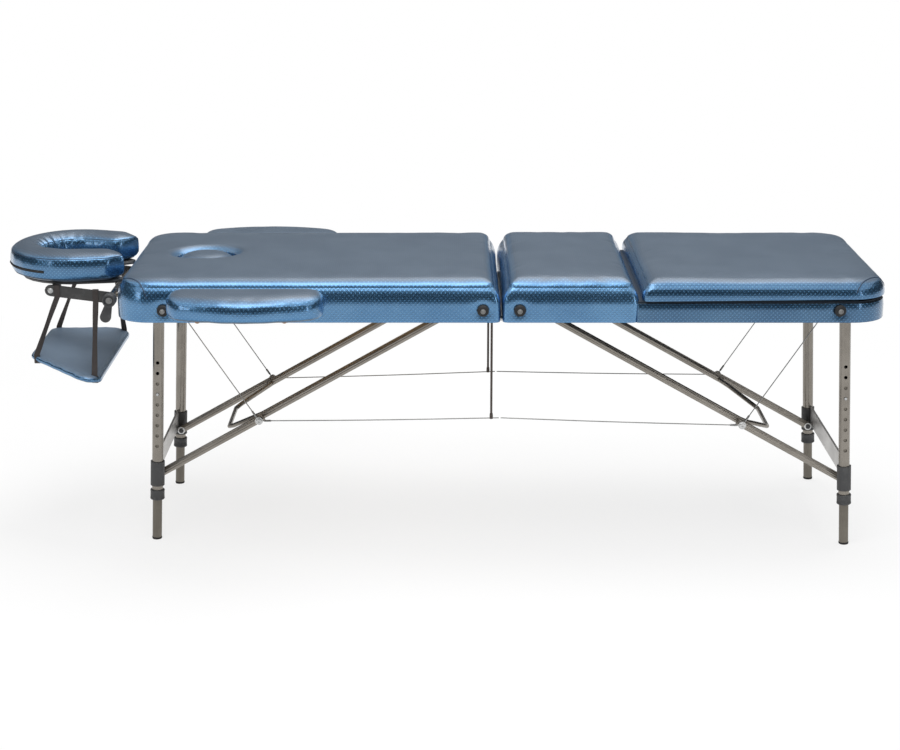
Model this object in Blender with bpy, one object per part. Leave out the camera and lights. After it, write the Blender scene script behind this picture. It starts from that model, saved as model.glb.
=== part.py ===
# Folding treatment table: two hinged halves on aluminium telescopic legs, a lift-up backrest,
# a face cradle with an arm shelf, and two side armrests.
# Metres, +Z up. X runs along the table with the head end at -X, and the floor is at Z = 0.
# Sizes along X are measured from the fold line. FOLD_X then centres the whole object.

import math

import bmesh
import bpy
from mathutils import Vector

# Overall sizes
HALF_LENGTH = 0.925
TABLE_WIDTH = 0.600
RIM_Z = 0.577
FRAME_HEIGHT = 0.046
DECK_THICKNESS = 0.005
TOP_Z = 0.680
CROWN = 0.006
CORNER_RADIUS = 0.090
FOLD_CORNER_RADIUS = 0.014
EDGE_ROLL = 0.028
HEM_TUCK = 0.004
HEM_RISE = 0.010
CROWN_FLAT = 0.020
FOLD_GAP = 0.002
COVER_THICKNESS = 0.006
RAIL_WIDTH = 0.022
FOLD_RAIL_WIDTH = 0.012
FOLD_RAIL_SETBACK = 0.005
CLEARANCE = 0.0003

# Seat and backrest
SEAT_LENGTH = 0.330
BACK_GAP = 0.005
BACK_LIFT_DEG = 65.0
BACK_AXIS_DROP = 0.008
BACK_REST_HEIGHT = 0.010
BACK_BOARD_THICKNESS = 0.008
PROP_RADIUS = 0.0045
PROP_HINGE_OFFSET = 0.220
PROP_LENGTH = 0.300
PROP_HALF_WIDTH = 0.120
PROP_CORNER = 0.015
REST_BLOCK_SIZE = 0.040
REST_BLOCK_INSET = 0.060

# Breathing hole and its plug
HOLE_FROM_END = 0.190
HOLE_HALF_LENGTH = 0.077
HOLE_HALF_WIDTH = 0.066
PLUG_CLEARANCE = 0.0008
PLUG_ROLL = 0.008
PLUG_TUCK = 0.002

# Centre hinge
HINGE_LEAF = 0.0015
HINGE_LEAF_WIDTH = 0.012
KNUCKLE_RADIUS = 0.0034
HINGE_PIN_RADIUS = 0.0015
HINGE_END_GAP = 0.040
KNUCKLE_COUNT = 7
KNUCKLE_GAP = 0.0006

# Legs
LEG_PIVOT_FROM_END = 0.097
LEG_PIVOT_RISE = 0.020
LEG_SPLAY_DEG = 2.69
FOOT_LEG_FROM_SIDE = 0.0485
LEG_STAGGER = 0.0370
UPPER_TUBE_RADIUS = 0.0138
UPPER_BORE_RADIUS = 0.0123
LOWER_TUBE_RADIUS = 0.0118
LOWER_BORE_RADIUS = 0.0100
UPPER_TUBE_LENGTH = 0.4920
UPPER_BORE_START = 0.110
LOWER_TUBE_START = 0.180
FOOT_PLUG_DEPTH = 0.030
END_RING_RADIUS = 0.0170
END_RING_LENGTH = 0.0240
CROSS_TUBE_RADIUS = 0.0110
CROSS_TUBE_END_GAP = 0.0008
HOLE_COUNT = 9
HOLE_PITCH = 0.0266
FIRST_HOLE_DROP = 0.1390
HOLE_RADIUS = 0.0045
BUTTON_HOLE_INDEX = 3
BUTTON_RADIUS = 0.0035
BUTTON_STAND = 0.0024
BUTTON_ROOT = 0.0060

# Collars and cross plate
COLLAR_RADIUS = 0.0175
COLLAR_START_DROP = 0.3940
COLLAR_LENGTH = 0.0620
PLATE_HEIGHT = 0.0500
PLATE_START_DROP = 0.3880
PLATE_THICKNESS = 0.0040
PLATE_SETBACK = 0.0060

# Folding braces
BRACE_RADIUS = 0.0095
BRACE_INSET = 0.0360
BRACE_SIDE_GAP = 0.0040
BRACE_TAIL = 0.0065
KNEE_TAIL = 0.0110
COLLAR_PIVOT_DROP = 0.4350
COLLAR_PIVOT_IN = 0.0080
COLLAR_PIN_RADIUS = 0.0038
COLLAR_PIN_HEAD_RADIUS = 0.0065
COLLAR_PIN_HEAD = 0.0030
BRACE_PIVOT_FROM_FOLD = 0.0550
BRACE_AXLE_RADIUS = 0.0060
BOW_RADIUS = 0.0057
BOW_REACH = 0.1000
BOW_SHOULDER = 0.0250
BOW_ELBOW = 0.0850
BOW_HALF_WIDTH = 0.0900

# Wires and hanger cord
WIRE_RADIUS = 0.0016
STAY_FROM_END = 0.1260
WIRE_SAG_Z = 0.3140
WIRE_DROP = 0.0120
WIRE_SLACK = 0.0020
HANGER_RADIUS = 0.0030
HANGER_FROM_FOLD = 0.0210
HANGER_BEND_SHARE = 0.3

# Bumpers, handles and latches
BUMPER_RADIUS = 0.0140
BUMPER_HEIGHT = 0.0110
BUMPER_Z = 0.6070
BUMPER_FROM_END = 0.1190
BUMPER_FROM_FOLD = 0.0440
HANDLE_FROM_FOLD = 0.1600
HANDLE_SPAN = 0.1400
HANDLE_STAND = 0.0360
HANDLE_RADIUS = 0.0080
HANDLE_ARCH_STEPS = 8
HANDLE_Z = 0.6060
LATCH_ARMREST_GAP = 0.0060
LATCH_FROM_END = 0.1100
LATCH_OFFSET = 0.0220
LATCH_TIP = 0.0060
LATCH_SLOT_GAP = 0.0008
LATCH_WIDTH = 0.0170
LATCH_THICKNESS = 0.0030
LATCH_Z = 0.5960
STUD_RADIUS = 0.0040
STUD_STAND = 0.0090

# Face cradle
CRADLE_GAP = 0.0050
CUSHION_LENGTH = 0.2920
CUSHION_HALF_WIDTH = 0.1650
CUSHION_LIMB = 0.0900
CUSHION_HEIGHT = 0.0700
CUSHION_TOE_IN = 0.0168
CUSHION_TIP = 0.0378
CUSHION_Z = 0.6450
PLATFORM_THICKNESS = 0.0120
PLATFORM_INSET = 0.0220
PLATFORM_LIMB = 0.0500
PLATFORM_TIP = 0.0210
PRONG_RADIUS = 0.0080
PRONG_Y = 0.1050
PRONG_Z = 0.6020
PRONG_DEPTH = 0.0700
CRADLE_AXIS_OUT = 0.0300
CROSSBAR_RADIUS = 0.0095
ARM_PLATE_THICKNESS = 0.0060
ARM_PLATE_Y = 0.1450
ARM_PLATE_RADIUS = 0.0140
ARM_LENGTH = 0.1470
ARM_RISE = 0.0190
TILT_ROD_RADIUS = 0.0050
TILT_LUG_WIDTH = 0.0200
TILT_LUG_Y = 0.0700
TILT_LUG_WALL = 0.0040
LEVER_HUB_RADIUS = 0.0150
LEVER_HUB_LENGTH = 0.0300
LEVER_LENGTH = 0.0660
LEVER_WIDTH = 0.0250
LEVER_THICKNESS = 0.0080
LEVER_LEAN_DEG = 17.0

# Arm shelf and its straps
SHELF_FROM_END = 0.0500
SHELF_LENGTH = 0.1900
SHELF_INNER_HALF = 0.2450
SHELF_OUTER_HALF = 0.1500
SHELF_CORNER = 0.0350
SHELF_THICKNESS = 0.0180
SHELF_EDGE = 0.0035
SHELF_EDGE_SHARE = 0.3
SHELF_Z = 0.4400
SHELF_TILT_DEG = 10.0
STRAP_WIDTH = 0.0160
STRAP_THICKNESS = 0.0016
STRAP_SLOT_GAP = 0.0014
INNER_STRAP_FROM_AXIS = 0.0450
OUTER_STRAP_FROM_AXIS = 0.1300
STRAP_SLOT_INSET = 0.0400

# Side armrests
ARMREST_FROM_END = 0.1360
ARMREST_LENGTH = 0.3710
ARMREST_WIDTH = 0.1265
ARMREST_BULGE = 0.0300
ARMREST_Z = 0.6110
ARMREST_BOARD = 0.0100
ARMREST_BOARD_INSET = 0.0100
ARMREST_PAD = 0.0470
ARMREST_ROLL = 0.0240
ARMREST_TUCK = 0.0050
ARMREST_CROWN = 0.0030
ARMREST_CORNER = 0.0350
ARMREST_GAP = 0.0035
DOWEL_RADIUS = 0.0080
OUTER_DOWEL_FROM_END = 0.2110
INNER_DOWEL_FROM_END = 0.4150
DOWEL_REACH = 0.0380
DOWEL_END_INSET = 0.0480

# Worked out from the sizes above
OVERHANG = CRADLE_GAP + CUSHION_LENGTH
FOLD_X = OVERHANG / 2
HALF_WIDTH = TABLE_WIDTH / 2
DECK_Z = RIM_Z + FRAME_HEIGHT + CLEARANCE
DECK_TOP = DECK_Z + DECK_THICKNESS
RAIL_INNER_Y = HALF_WIDTH - COVER_THICKNESS - RAIL_WIDTH
FOOT_LEG_Y = HALF_WIDTH - FOOT_LEG_FROM_SIDE
HEAD_LEG_Y = FOOT_LEG_Y - LEG_STAGGER
HINGE_LENGTH = TABLE_WIDTH - 2 * HINGE_END_GAP
LEG_PIVOT_X = HALF_LENGTH - LEG_PIVOT_FROM_END
LEG_PIVOT_Z = RIM_Z + LEG_PIVOT_RISE
SPLAY = math.radians(LEG_SPLAY_DEG)
LEG_LENGTH = LEG_PIVOT_Z / math.cos(SPLAY)
BRACE_STEP = 2 * BRACE_RADIUS + BRACE_SIDE_GAP
HINGE_Z = RIM_Z - CLEARANCE - HINGE_LEAF - CLEARANCE
BACK_START = SEAT_LENGTH + BACK_GAP
BACK_BOARD_Z = DECK_TOP + BACK_REST_HEIGHT
BACK_AXIS = Vector((SEAT_LENGTH + BACK_GAP / 2, 0, TOP_Z - BACK_AXIS_DROP))
PROP_Z = DECK_TOP + BACK_REST_HEIGHT / 2
HOLE_X = -(HALF_LENGTH - HOLE_FROM_END)
CRADLE_AXIS = Vector((-(HALF_LENGTH + CRADLE_AXIS_OUT), 0, PRONG_Z))
TILT_AXIS = CRADLE_AXIS + Vector((-ARM_LENGTH, 0, ARM_RISE))
PLATFORM_Z = CUSHION_Z - CLEARANCE - PLATFORM_THICKNESS
DOWEL_Z = ARMREST_Z - DOWEL_RADIUS + 2 * CLEARANCE
DOWEL_XS = (OUTER_DOWEL_FROM_END - HALF_LENGTH, INNER_DOWEL_FROM_END - HALF_LENGTH)
ARMREST_INNER_X = HALF_LENGTH - ARMREST_FROM_END - ARMREST_LENGTH
STUD_XS = (ARMREST_INNER_X - LATCH_ARMREST_GAP - LATCH_OFFSET, HALF_LENGTH - LATCH_FROM_END)
STRAP_XS = (CRADLE_AXIS.x - INNER_STRAP_FROM_AXIS, CRADLE_AXIS.x - OUTER_STRAP_FROM_AXIS)

SIDES = ((-1, "head", HEAD_LEG_Y), (1, "foot", FOOT_LEG_Y))
FLANKS = ((-1, "near"), (1, "far"))

FINISHES = {
    "vinyl": ((0.10, 0.20, 0.42, 1), 0.35, 0.25),
    "tube": ((0.42, 0.40, 0.38, 1), 0.30, 0.90),
    "steel": ((0.62, 0.62, 0.62, 1), 0.25, 1.00),
    "plastic": ((0.06, 0.065, 0.07, 1), 0.45, 0.00),
    "wood": ((0.62, 0.33, 0.12, 1), 0.50, 0.00),
    "board": ((0.55, 0.42, 0.26, 1), 0.60, 0.00),
    "webbing": ((0.03, 0.03, 0.035, 1), 0.80, 0.00),
}


# Scene helpers

def clear_scene():
    for item in list(bpy.data.objects):
        bpy.data.objects.remove(item, do_unlink=True)


def new_collection(name):
    collection = bpy.data.collections.new(name)
    bpy.context.scene.collection.children.link(collection)
    return collection


def finish_material(name):
    material = bpy.data.materials.get(name)
    if material is None:
        colour, roughness, metallic = FINISHES[name]
        material = bpy.data.materials.new(name)
        material.use_nodes = True
        shader = material.node_tree.nodes["Principled BSDF"]
        shader.inputs["Base Color"].default_value = colour
        shader.inputs["Roughness"].default_value = roughness
        shader.inputs["Metallic"].default_value = metallic
    return material


clear_scene()
PARTS = new_collection("folding_massage_table")
CUTTERS = new_collection("table_cutters")


def axis_empty(name, point):
    empty = bpy.data.objects.new(name, None)
    empty.empty_display_size = 0.03
    empty.location = Vector(point) + Vector((FOLD_X, 0, 0))
    PARTS.objects.link(empty)
    return empty


def hang_on(item, empty):
    bpy.context.view_layer.update()
    item.parent = empty
    item.matrix_parent_inverse = empty.matrix_world.inverted()


def part(name, data, finish, empty):
    item = bpy.data.objects.new(name, data)
    item.location = (FOLD_X, 0, 0)
    PARTS.objects.link(item)
    data.materials.append(finish_material(finish))
    if isinstance(data, bpy.types.Mesh):
        data.shade_smooth()
        data.set_sharp_from_angle(angle=math.radians(35))
    hang_on(item, empty)
    return item


def cutter(data):
    item = bpy.data.objects.new("cutter", data)
    item.location = (FOLD_X, 0, 0)
    item.hide_render = True
    item.display_type = "WIRE"
    CUTTERS.objects.link(item)
    return item


def boolean(item, data, operation):
    modifier = item.modifiers.new(operation.lower(), "BOOLEAN")
    modifier.operation = operation
    modifier.object = cutter(data)


def cut(item, *shapes):
    for shape in shapes:
        boolean(item, shape, "DIFFERENCE")


def weld(item, *shapes):
    for shape in shapes:
        boolean(item, shape, "UNION")


# Shape helpers

def mesh_from(bm):
    bmesh.ops.recalc_face_normals(bm, faces=bm.faces)
    mesh = bpy.data.meshes.new("shape")
    bm.to_mesh(mesh)
    bm.free()
    return mesh


def box(x_range, y_range, z_range):
    ranges = (x_range, y_range, z_range)
    size = Vector([high - low for low, high in ranges])
    middle = Vector([(high + low) / 2 for low, high in ranges])
    bm = bmesh.new()
    bmesh.ops.create_cube(bm, size=1.0)
    bmesh.ops.scale(bm, vec=size, verts=bm.verts)
    bmesh.ops.translate(bm, vec=middle, verts=bm.verts)
    return mesh_from(bm)


def add_rod(bm, start, end, radius, sides):
    start = Vector(start)
    end = Vector(end)
    line = end - start
    made = bmesh.ops.create_cone(
        bm, cap_ends=True, segments=sides, radius1=radius, radius2=radius, depth=line.length)
    turn = line.to_track_quat("Z", "Y").to_matrix()
    bmesh.ops.rotate(bm, cent=(0, 0, 0), matrix=turn, verts=made["verts"])
    bmesh.ops.translate(bm, vec=(start + end) / 2, verts=made["verts"])


def rod(start, end, radius, sides=16):
    bm = bmesh.new()
    add_rod(bm, start, end, radius, sides)
    return mesh_from(bm)


def rods(lines, radius, sides):
    bm = bmesh.new()
    for start, end in lines:
        add_rod(bm, start, end, radius, sides)
    return mesh_from(bm)


def turned(profile, base, direction, steps=16):
    bm = bmesh.new()
    points = [bm.verts.new((radius, 0, height)) for radius, height in profile]
    edges = [bm.edges.new(pair) for pair in zip(points, points[1:])]
    bmesh.ops.spin(
        bm, geom=points + edges, cent=(0, 0, 0), axis=(0, 0, 1), dvec=(0, 0, 0),
        angle=2 * math.pi, steps=steps, use_merge=True)
    bmesh.ops.remove_doubles(bm, verts=bm.verts, dist=1e-6)
    turn = Vector(direction).to_track_quat("Z", "Y").to_matrix()
    bmesh.ops.rotate(bm, cent=(0, 0, 0), matrix=turn, verts=bm.verts)
    bmesh.ops.translate(bm, vec=base, verts=bm.verts)
    return mesh_from(bm)


def loft(rings):
    bm = bmesh.new()
    loops = [[bm.verts.new(point) for point in ring] for ring in rings]
    for lower, upper in zip(loops, loops[1:]):
        count = len(lower)
        for i in range(count):
            j = (i + 1) % count
            bm.faces.new((lower[i], lower[j], upper[j], upper[i]))
    bm.faces.new(list(reversed(loops[0])))
    bm.faces.new(loops[-1])
    return mesh_from(bm)


def prism(outline, low, high):
    rings = [[(x, y, z) for x, y in outline] for z in (low, high)]
    return loft(rings)


def side_prism(outline, y_low, y_high):
    rings = [[(x, y, z) for x, z in outline] for y in (y_high, y_low)]
    return loft(rings)


def poly_curve(points, radius, resolution, closed=False):
    curve = bpy.data.curves.new("route", "CURVE")
    curve.dimensions = "3D"
    curve.bevel_depth = radius
    curve.bevel_resolution = resolution
    curve.use_fill_caps = True
    spline = curve.splines.new("POLY")
    spline.points.add(len(points) - 1)
    for slot, point in zip(spline.points, points):
        slot.co = (*point, 1)
    spline.use_cyclic_u = closed
    return curve


def plate_curve(outlines, low, high):
    curve = bpy.data.curves.new("plate", "CURVE")
    curve.dimensions = "2D"
    curve.fill_mode = "BOTH"
    curve.extrude = (high - low) / 2
    for outline in outlines:
        spline = curve.splines.new("POLY")
        spline.points.add(len(outline) - 1)
        for slot, (x, y) in zip(spline.points, outline):
            slot.co = (x, y, 0, 1)
        spline.use_cyclic_u = True
    return curve


def arc(centre, radius, start_deg, end_deg, steps):
    points = []
    for i in range(steps + 1):
        angle = math.radians(start_deg + (end_deg - start_deg) * i / steps)
        points.append((centre[0] + radius * math.cos(angle), centre[1] + radius * math.sin(angle)))
    return points


def spread(start, end, count):
    step = 1.0 / (count + 1)
    return [
        (start[0] + (end[0] - start[0]) * step * (i + 1), start[1] + (end[1] - start[1]) * step * (i + 1))
        for i in range(count)]


def rounded_outline(x_range, y_range, radii, inset=0.0, steps=(6, 6), side_points=0):
    # radii and steps are for the corners at the low X end and at the high X end.
    x_low, x_high = x_range[0] + inset, x_range[1] - inset
    y_low, y_high = y_range[0] + inset, y_range[1] - inset
    room = 0.499 * min(x_high - x_low, y_high - y_low)
    r_low, r_high = [min(max(radius - inset, 0.004), room) for radius in radii]
    corners = (
        arc((x_low + r_low, y_low + r_low), r_low, 180, 270, steps[0]),
        arc((x_high - r_high, y_low + r_high), r_high, 270, 360, steps[1]),
        arc((x_high - r_high, y_high - r_high), r_high, 0, 90, steps[1]),
        arc((x_low + r_low, y_high - r_low), r_low, 90, 180, steps[0]))
    outline = []
    for corner, following in zip(corners, corners[1:] + corners[:1]):
        outline += corner
        outline += spread(corner[-1], following[0], side_points)
    return outline


def ellipse(centre, half_length, half_width, steps=28):
    outline = []
    for i in range(steps):
        angle = 2 * math.pi * i / steps
        outline.append((centre[0] + half_length * math.cos(angle), centre[1] + half_width * math.sin(angle)))
    return outline


def capsule(start, end, radius, steps=6):
    lean = math.degrees(math.atan2(end[1] - start[1], end[0] - start[0]))
    return arc(end, radius, lean - 90, lean + 90, steps) + arc(start, radius, lean + 90, lean + 270, steps)


def pad_levels(bottom, top, roll, crown, reach, tuck):
    # (inset, height) pairs from the drawn-in hem, up the side, over the roll and across the crown.
    levels = [(tuck, bottom), (0.0, bottom + HEM_RISE)]
    for angle in (0, 30, 60, 90):
        turn = math.radians(angle)
        levels.append((roll * (1 - math.cos(turn)), top - roll * (1 - math.sin(turn))))
    for share in (0.25, 0.55, 0.9):
        inset = roll + (reach - roll) * share
        levels.append((inset, top + crown * (1 - (1 - share) ** 2)))
    return levels


def pad_mesh(x_range, y_range, radii, levels, steps):
    rings = []
    for inset, height in levels:
        outline = rounded_outline(x_range, y_range, radii, inset, steps, side_points=3)
        rings.append([(x, y, height) for x, y in outline])
    return loft(rings)


# Joint axes

AXES = {
    "table": axis_empty("table_origin", (-FOLD_X, 0, 0)),
    "center_fold": axis_empty("center_fold_axis", (0, 0, HINGE_Z)),
    "back_lift": axis_empty("back_lift_axis", BACK_AXIS),
    "cradle_tilt": axis_empty("cradle_tilt_axis", CRADLE_AXIS),
    "platform_tilt": axis_empty("platform_tilt_axis", TILT_AXIS),
}


# Leg and brace geometry in the XZ plane

def leg_point(side, y, along, inward=0.0):
    x = LEG_PIVOT_X + along * math.sin(SPLAY) - inward * math.cos(SPLAY)
    z = LEG_PIVOT_Z - along * math.cos(SPLAY) - inward * math.sin(SPLAY)
    return Vector((side * x, y, z))


def brace_points(side):
    # The brace lies flat in the recess when the leg is folded, which fixes both its lengths.
    low = leg_point(side, 0, COLLAR_PIVOT_DROP, COLLAR_PIVOT_IN)
    high = Vector((side * BRACE_PIVOT_FROM_FOLD, 0, LEG_PIVOT_Z + COLLAR_PIVOT_IN))
    folded_gap = LEG_PIVOT_X - COLLAR_PIVOT_DROP - BRACE_PIVOT_FROM_FOLD
    line = high - low
    lower_length = (line.length - folded_gap) / 2
    knee = low + line.normalized() * lower_length
    return low, knee, high


def at_y(point, y):
    return Vector((point.x, y, point.z))


for side, end, leg_y in SIDES:
    low, knee, high = brace_points(side)
    AXES[end + "_leg"] = axis_empty(end + "_leg_axis", leg_point(side, 0, 0))
    AXES[end + "_upper_brace"] = axis_empty(end + "_upper_brace_axis", high)
    AXES[end + "_lower_brace"] = axis_empty(end + "_lower_brace_axis", low)
    for flank, flank_name in FLANKS:
        name = end + "_" + flank_name
        AXES[name + "_leg_slide"] = axis_empty(name + "_leg_slide_axis", leg_point(side, flank * leg_y, 0))


# Half frames, decks and hinge

HEAD_X = (-HALF_LENGTH, -FOLD_GAP / 2)
FOOT_X = (FOLD_GAP / 2, HALF_LENGTH)
WIDTH_Y = (-HALF_WIDTH, HALF_WIDTH)


def half_range(side, end_inset, fold_inset):
    near, far = fold_inset, HALF_LENGTH - end_inset
    return (near, far) if side > 0 else (-far, -near)


def half_radii(side, end_radius, fold_radius):
    return (fold_radius, end_radius) if side > 0 else (end_radius, fold_radius)


def half_steps(side):
    return (2, 7) if side > 0 else (7, 2)


def frame_outline(side, margin):
    # Outline of the rail ring, grown by a margin.
    x_range = half_range(side, COVER_THICKNESS - margin, FOLD_RAIL_SETBACK - margin)
    y_edge = HALF_WIDTH - COVER_THICKNESS + margin
    radii = half_radii(side, CORNER_RADIUS - COVER_THICKNESS, FOLD_CORNER_RADIUS / 2)
    return rounded_outline(x_range, (-y_edge, y_edge), radii, 0.0, half_steps(side))


def recess_outline(side):
    x_range = half_range(side, COVER_THICKNESS + RAIL_WIDTH, FOLD_RAIL_SETBACK + FOLD_RAIL_WIDTH)
    radii = half_radii(side, CORNER_RADIUS - COVER_THICKNESS - RAIL_WIDTH, FOLD_CORNER_RADIUS / 2)
    return rounded_outline(x_range, (-RAIL_INNER_Y, RAIL_INNER_Y), radii, 0.0, half_steps(side))


def prong_bores(margin):
    lines = []
    for flank, _ in FLANKS:
        inner = -(HALF_LENGTH - COVER_THICKNESS - 2 * RAIL_WIDTH)
        lines.append(((inner, flank * PRONG_Y, PRONG_Z), (CRADLE_AXIS.x, flank * PRONG_Y, PRONG_Z)))
    return rods(lines, PRONG_RADIUS + margin, 12)


def dowel_bores(margin):
    lines = []
    for flank, _ in FLANKS:
        for x in DOWEL_XS:
            inner = (x, flank * (RAIL_INNER_Y - RAIL_WIDTH), DOWEL_Z)
            lines.append((inner, (x, flank * (HALF_WIDTH + RAIL_WIDTH), DOWEL_Z)))
    return rods(lines, DOWEL_RADIUS + margin, 12)


def build_frame(side, end, empty):
    ring = prism(frame_outline(side, 0.0), RIM_Z, RIM_Z + FRAME_HEIGHT)
    frame = part(end + "_frame", ring, "tube", empty)
    cut(frame, prism(recess_outline(side), RIM_Z - RAIL_WIDTH, RIM_Z + FRAME_HEIGHT + RAIL_WIDTH))
    return frame


def build_deck(side, end, empty):
    outlines = [frame_outline(side, 0.0)]
    if side < 0:
        outlines.append(ellipse((HOLE_X, 0), HOLE_HALF_LENGTH, HOLE_HALF_WIDTH))
    deck = part(end + "_deck", plate_curve(outlines, DECK_Z, DECK_TOP), "board", empty)
    deck.location.z = (DECK_Z + DECK_TOP) / 2
    return deck


def build_hinge(side, end, empty):
    inner = KNUCKLE_RADIUS / 2
    x_range = sorted((side * inner, side * (FOLD_RAIL_SETBACK + HINGE_LEAF_WIDTH)))
    half = HINGE_LENGTH / 2
    leaf_z = (RIM_Z - CLEARANCE - HINGE_LEAF, RIM_Z - CLEARANCE)
    leaf = part(end + "_hinge_leaf", box(x_range, (-half, half), leaf_z), "steel", empty)
    step = HINGE_LENGTH / KNUCKLE_COUNT
    own, other = [], []
    for i in range(KNUCKLE_COUNT):
        start = -half + step * i
        line = ((0, start, HINGE_Z), (0, start + step, HINGE_Z))
        if (i % 2 == 0) == (side < 0):
            trim = KNUCKLE_GAP / 2
            own.append(((0, start + trim, HINGE_Z), (0, start + step - trim, HINGE_Z)))
        else:
            other.append(line)
    cut(leaf, rods(other, KNUCKLE_RADIUS + CLEARANCE, 12))
    for start, finish in own:
        weld(leaf, rod(start, finish, KNUCKLE_RADIUS, 10))
    pin_ends = ((0, -half - CLEARANCE, HINGE_Z), (0, half + CLEARANCE, HINGE_Z))
    if side < 0:
        weld(leaf, rod(*pin_ends, HINGE_PIN_RADIUS, 8))
    else:
        cut(leaf, rod(*pin_ends, HINGE_PIN_RADIUS + CLEARANCE, 8))
    return leaf


head_frame = build_frame(-1, "head", AXES["table"])
cut(head_frame, prong_bores(CLEARANCE), dowel_bores(CLEARANCE))
foot_frame = build_frame(1, "foot", AXES["center_fold"])
STUD_LINES = []
for stud_x in STUD_XS:
    inner = (stud_x, HALF_WIDTH - COVER_THICKNESS - RAIL_WIDTH / 2, LATCH_Z)
    STUD_LINES.append((inner, (stud_x, HALF_WIDTH + STUD_STAND, LATCH_Z)))
for line in STUD_LINES:
    weld(foot_frame, rod(*line, STUD_RADIUS, 10))
build_deck(-1, "head", AXES["table"])
build_deck(1, "foot", AXES["center_fold"])
build_hinge(-1, "head", AXES["table"])
build_hinge(1, "foot", AXES["center_fold"])


# Upholstery

PAD_REACH = HALF_WIDTH - CROWN_FLAT
FULL_LEVELS = pad_levels(RIM_Z, TOP_Z, EDGE_ROLL, CROWN, PAD_REACH, HEM_TUCK)

head_pad = part(
    "head_pad",
    pad_mesh(HEAD_X, WIDTH_Y, (CORNER_RADIUS, FOLD_CORNER_RADIUS), FULL_LEVELS, (7, 2)),
    "vinyl", AXES["table"])
cut(
    head_pad,
    prism(frame_outline(-1, CLEARANCE), RIM_Z - RAIL_WIDTH, DECK_TOP + CLEARANCE),
    prism(ellipse((HOLE_X, 0), HOLE_HALF_LENGTH, HOLE_HALF_WIDTH), DECK_Z, TOP_Z + 2 * CROWN),
    prong_bores(CLEARANCE),
    dowel_bores(CLEARANCE))

SEAT_REACH = SEAT_LENGTH / 2 - CROWN_FLAT
seat_pad = part(
    "seat_pad",
    pad_mesh(
        (FOLD_GAP / 2, SEAT_LENGTH), WIDTH_Y, (FOLD_CORNER_RADIUS, FOLD_CORNER_RADIUS),
        pad_levels(RIM_Z, TOP_Z, EDGE_ROLL, CROWN, SEAT_REACH, HEM_TUCK), (2, 2)),
    "vinyl", AXES["center_fold"])
cut(seat_pad, prism(frame_outline(1, CLEARANCE), RIM_Z - RAIL_WIDTH, DECK_TOP + CLEARANCE))

# The lower cover wraps the rails under the backrest.
COVER_TOP = RIM_Z + FRAME_HEIGHT
cover_levels = [
    (HEM_TUCK, RIM_Z), (0.0, RIM_Z + HEM_RISE), (0.0, COVER_TOP - HEM_TUCK), (HEM_TUCK, COVER_TOP)]
foot_cover = part(
    "foot_cover",
    pad_mesh(FOOT_X, WIDTH_Y, (FOLD_CORNER_RADIUS, CORNER_RADIUS), cover_levels, (2, 7)),
    "vinyl", AXES["center_fold"])
cut(
    foot_cover,
    prism(frame_outline(1, CLEARANCE), RIM_Z - RAIL_WIDTH, COVER_TOP + RAIL_WIDTH),
    box((-RAIL_WIDTH, SEAT_LENGTH + CLEARANCE), (-TABLE_WIDTH, TABLE_WIDTH), (0, TOP_Z)),
    rods(STUD_LINES, STUD_RADIUS + CLEARANCE, 10))

# Backrest: a board on rest blocks under a rolled cushion.
BACK_X = (BACK_START, HALF_LENGTH)
BACK_RADII = (FOLD_CORNER_RADIUS, CORNER_RADIUS)
board_inset = COVER_THICKNESS + CLEARANCE
board_outline = rounded_outline(BACK_X, WIDTH_Y, BACK_RADII, board_inset, (2, 7))
back_board = part(
    "back_board",
    prism(board_outline, BACK_BOARD_Z, BACK_BOARD_Z + BACK_BOARD_THICKNESS),
    "board", AXES["back_lift"])
for flank, _ in FLANKS:
    block_x = HALF_LENGTH - REST_BLOCK_INSET
    block_y = flank * (HALF_WIDTH - REST_BLOCK_INSET - REST_BLOCK_SIZE)
    weld(back_board, box(
        (block_x - REST_BLOCK_SIZE, block_x), (block_y - REST_BLOCK_SIZE / 2, block_y + REST_BLOCK_SIZE / 2),
        (DECK_TOP + CLEARANCE, BACK_BOARD_Z + BACK_BOARD_THICKNESS / 2)))
BACK_REACH = (HALF_LENGTH - BACK_START) / 2 - CROWN_FLAT
back_bottom = BACK_BOARD_Z - HEM_TUCK
back_pad = part(
    "back_pad",
    pad_mesh(
        BACK_X, WIDTH_Y, BACK_RADII,
        pad_levels(back_bottom, TOP_Z, EDGE_ROLL, CROWN, BACK_REACH, HEM_TUCK / 2), (2, 7)),
    "vinyl", AXES["back_lift"])
cut(back_pad, prism(
    rounded_outline(BACK_X, WIDTH_Y, BACK_RADII, COVER_THICKNESS, (2, 7)),
    back_bottom - RAIL_WIDTH, BACK_BOARD_Z + BACK_BOARD_THICKNESS + CLEARANCE))

# Wire prop under the backrest: a closed bail that lies flat in the gap.
prop_x = (BACK_AXIS.x + PROP_HINGE_OFFSET, BACK_AXIS.x + PROP_HINGE_OFFSET + PROP_LENGTH)
AXES["back_prop"] = axis_empty("back_prop_axis", (prop_x[0], 0, PROP_Z))
prop_route = rounded_outline(
    prop_x, (-PROP_HALF_WIDTH, PROP_HALF_WIDTH), (PROP_CORNER, PROP_CORNER), 0.0, (3, 3))
part(
    "back_prop",
    poly_curve([(x, y, PROP_Z) for x, y in prop_route], PROP_RADIUS, 2, closed=True),
    "steel", AXES["back_prop"])

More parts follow.
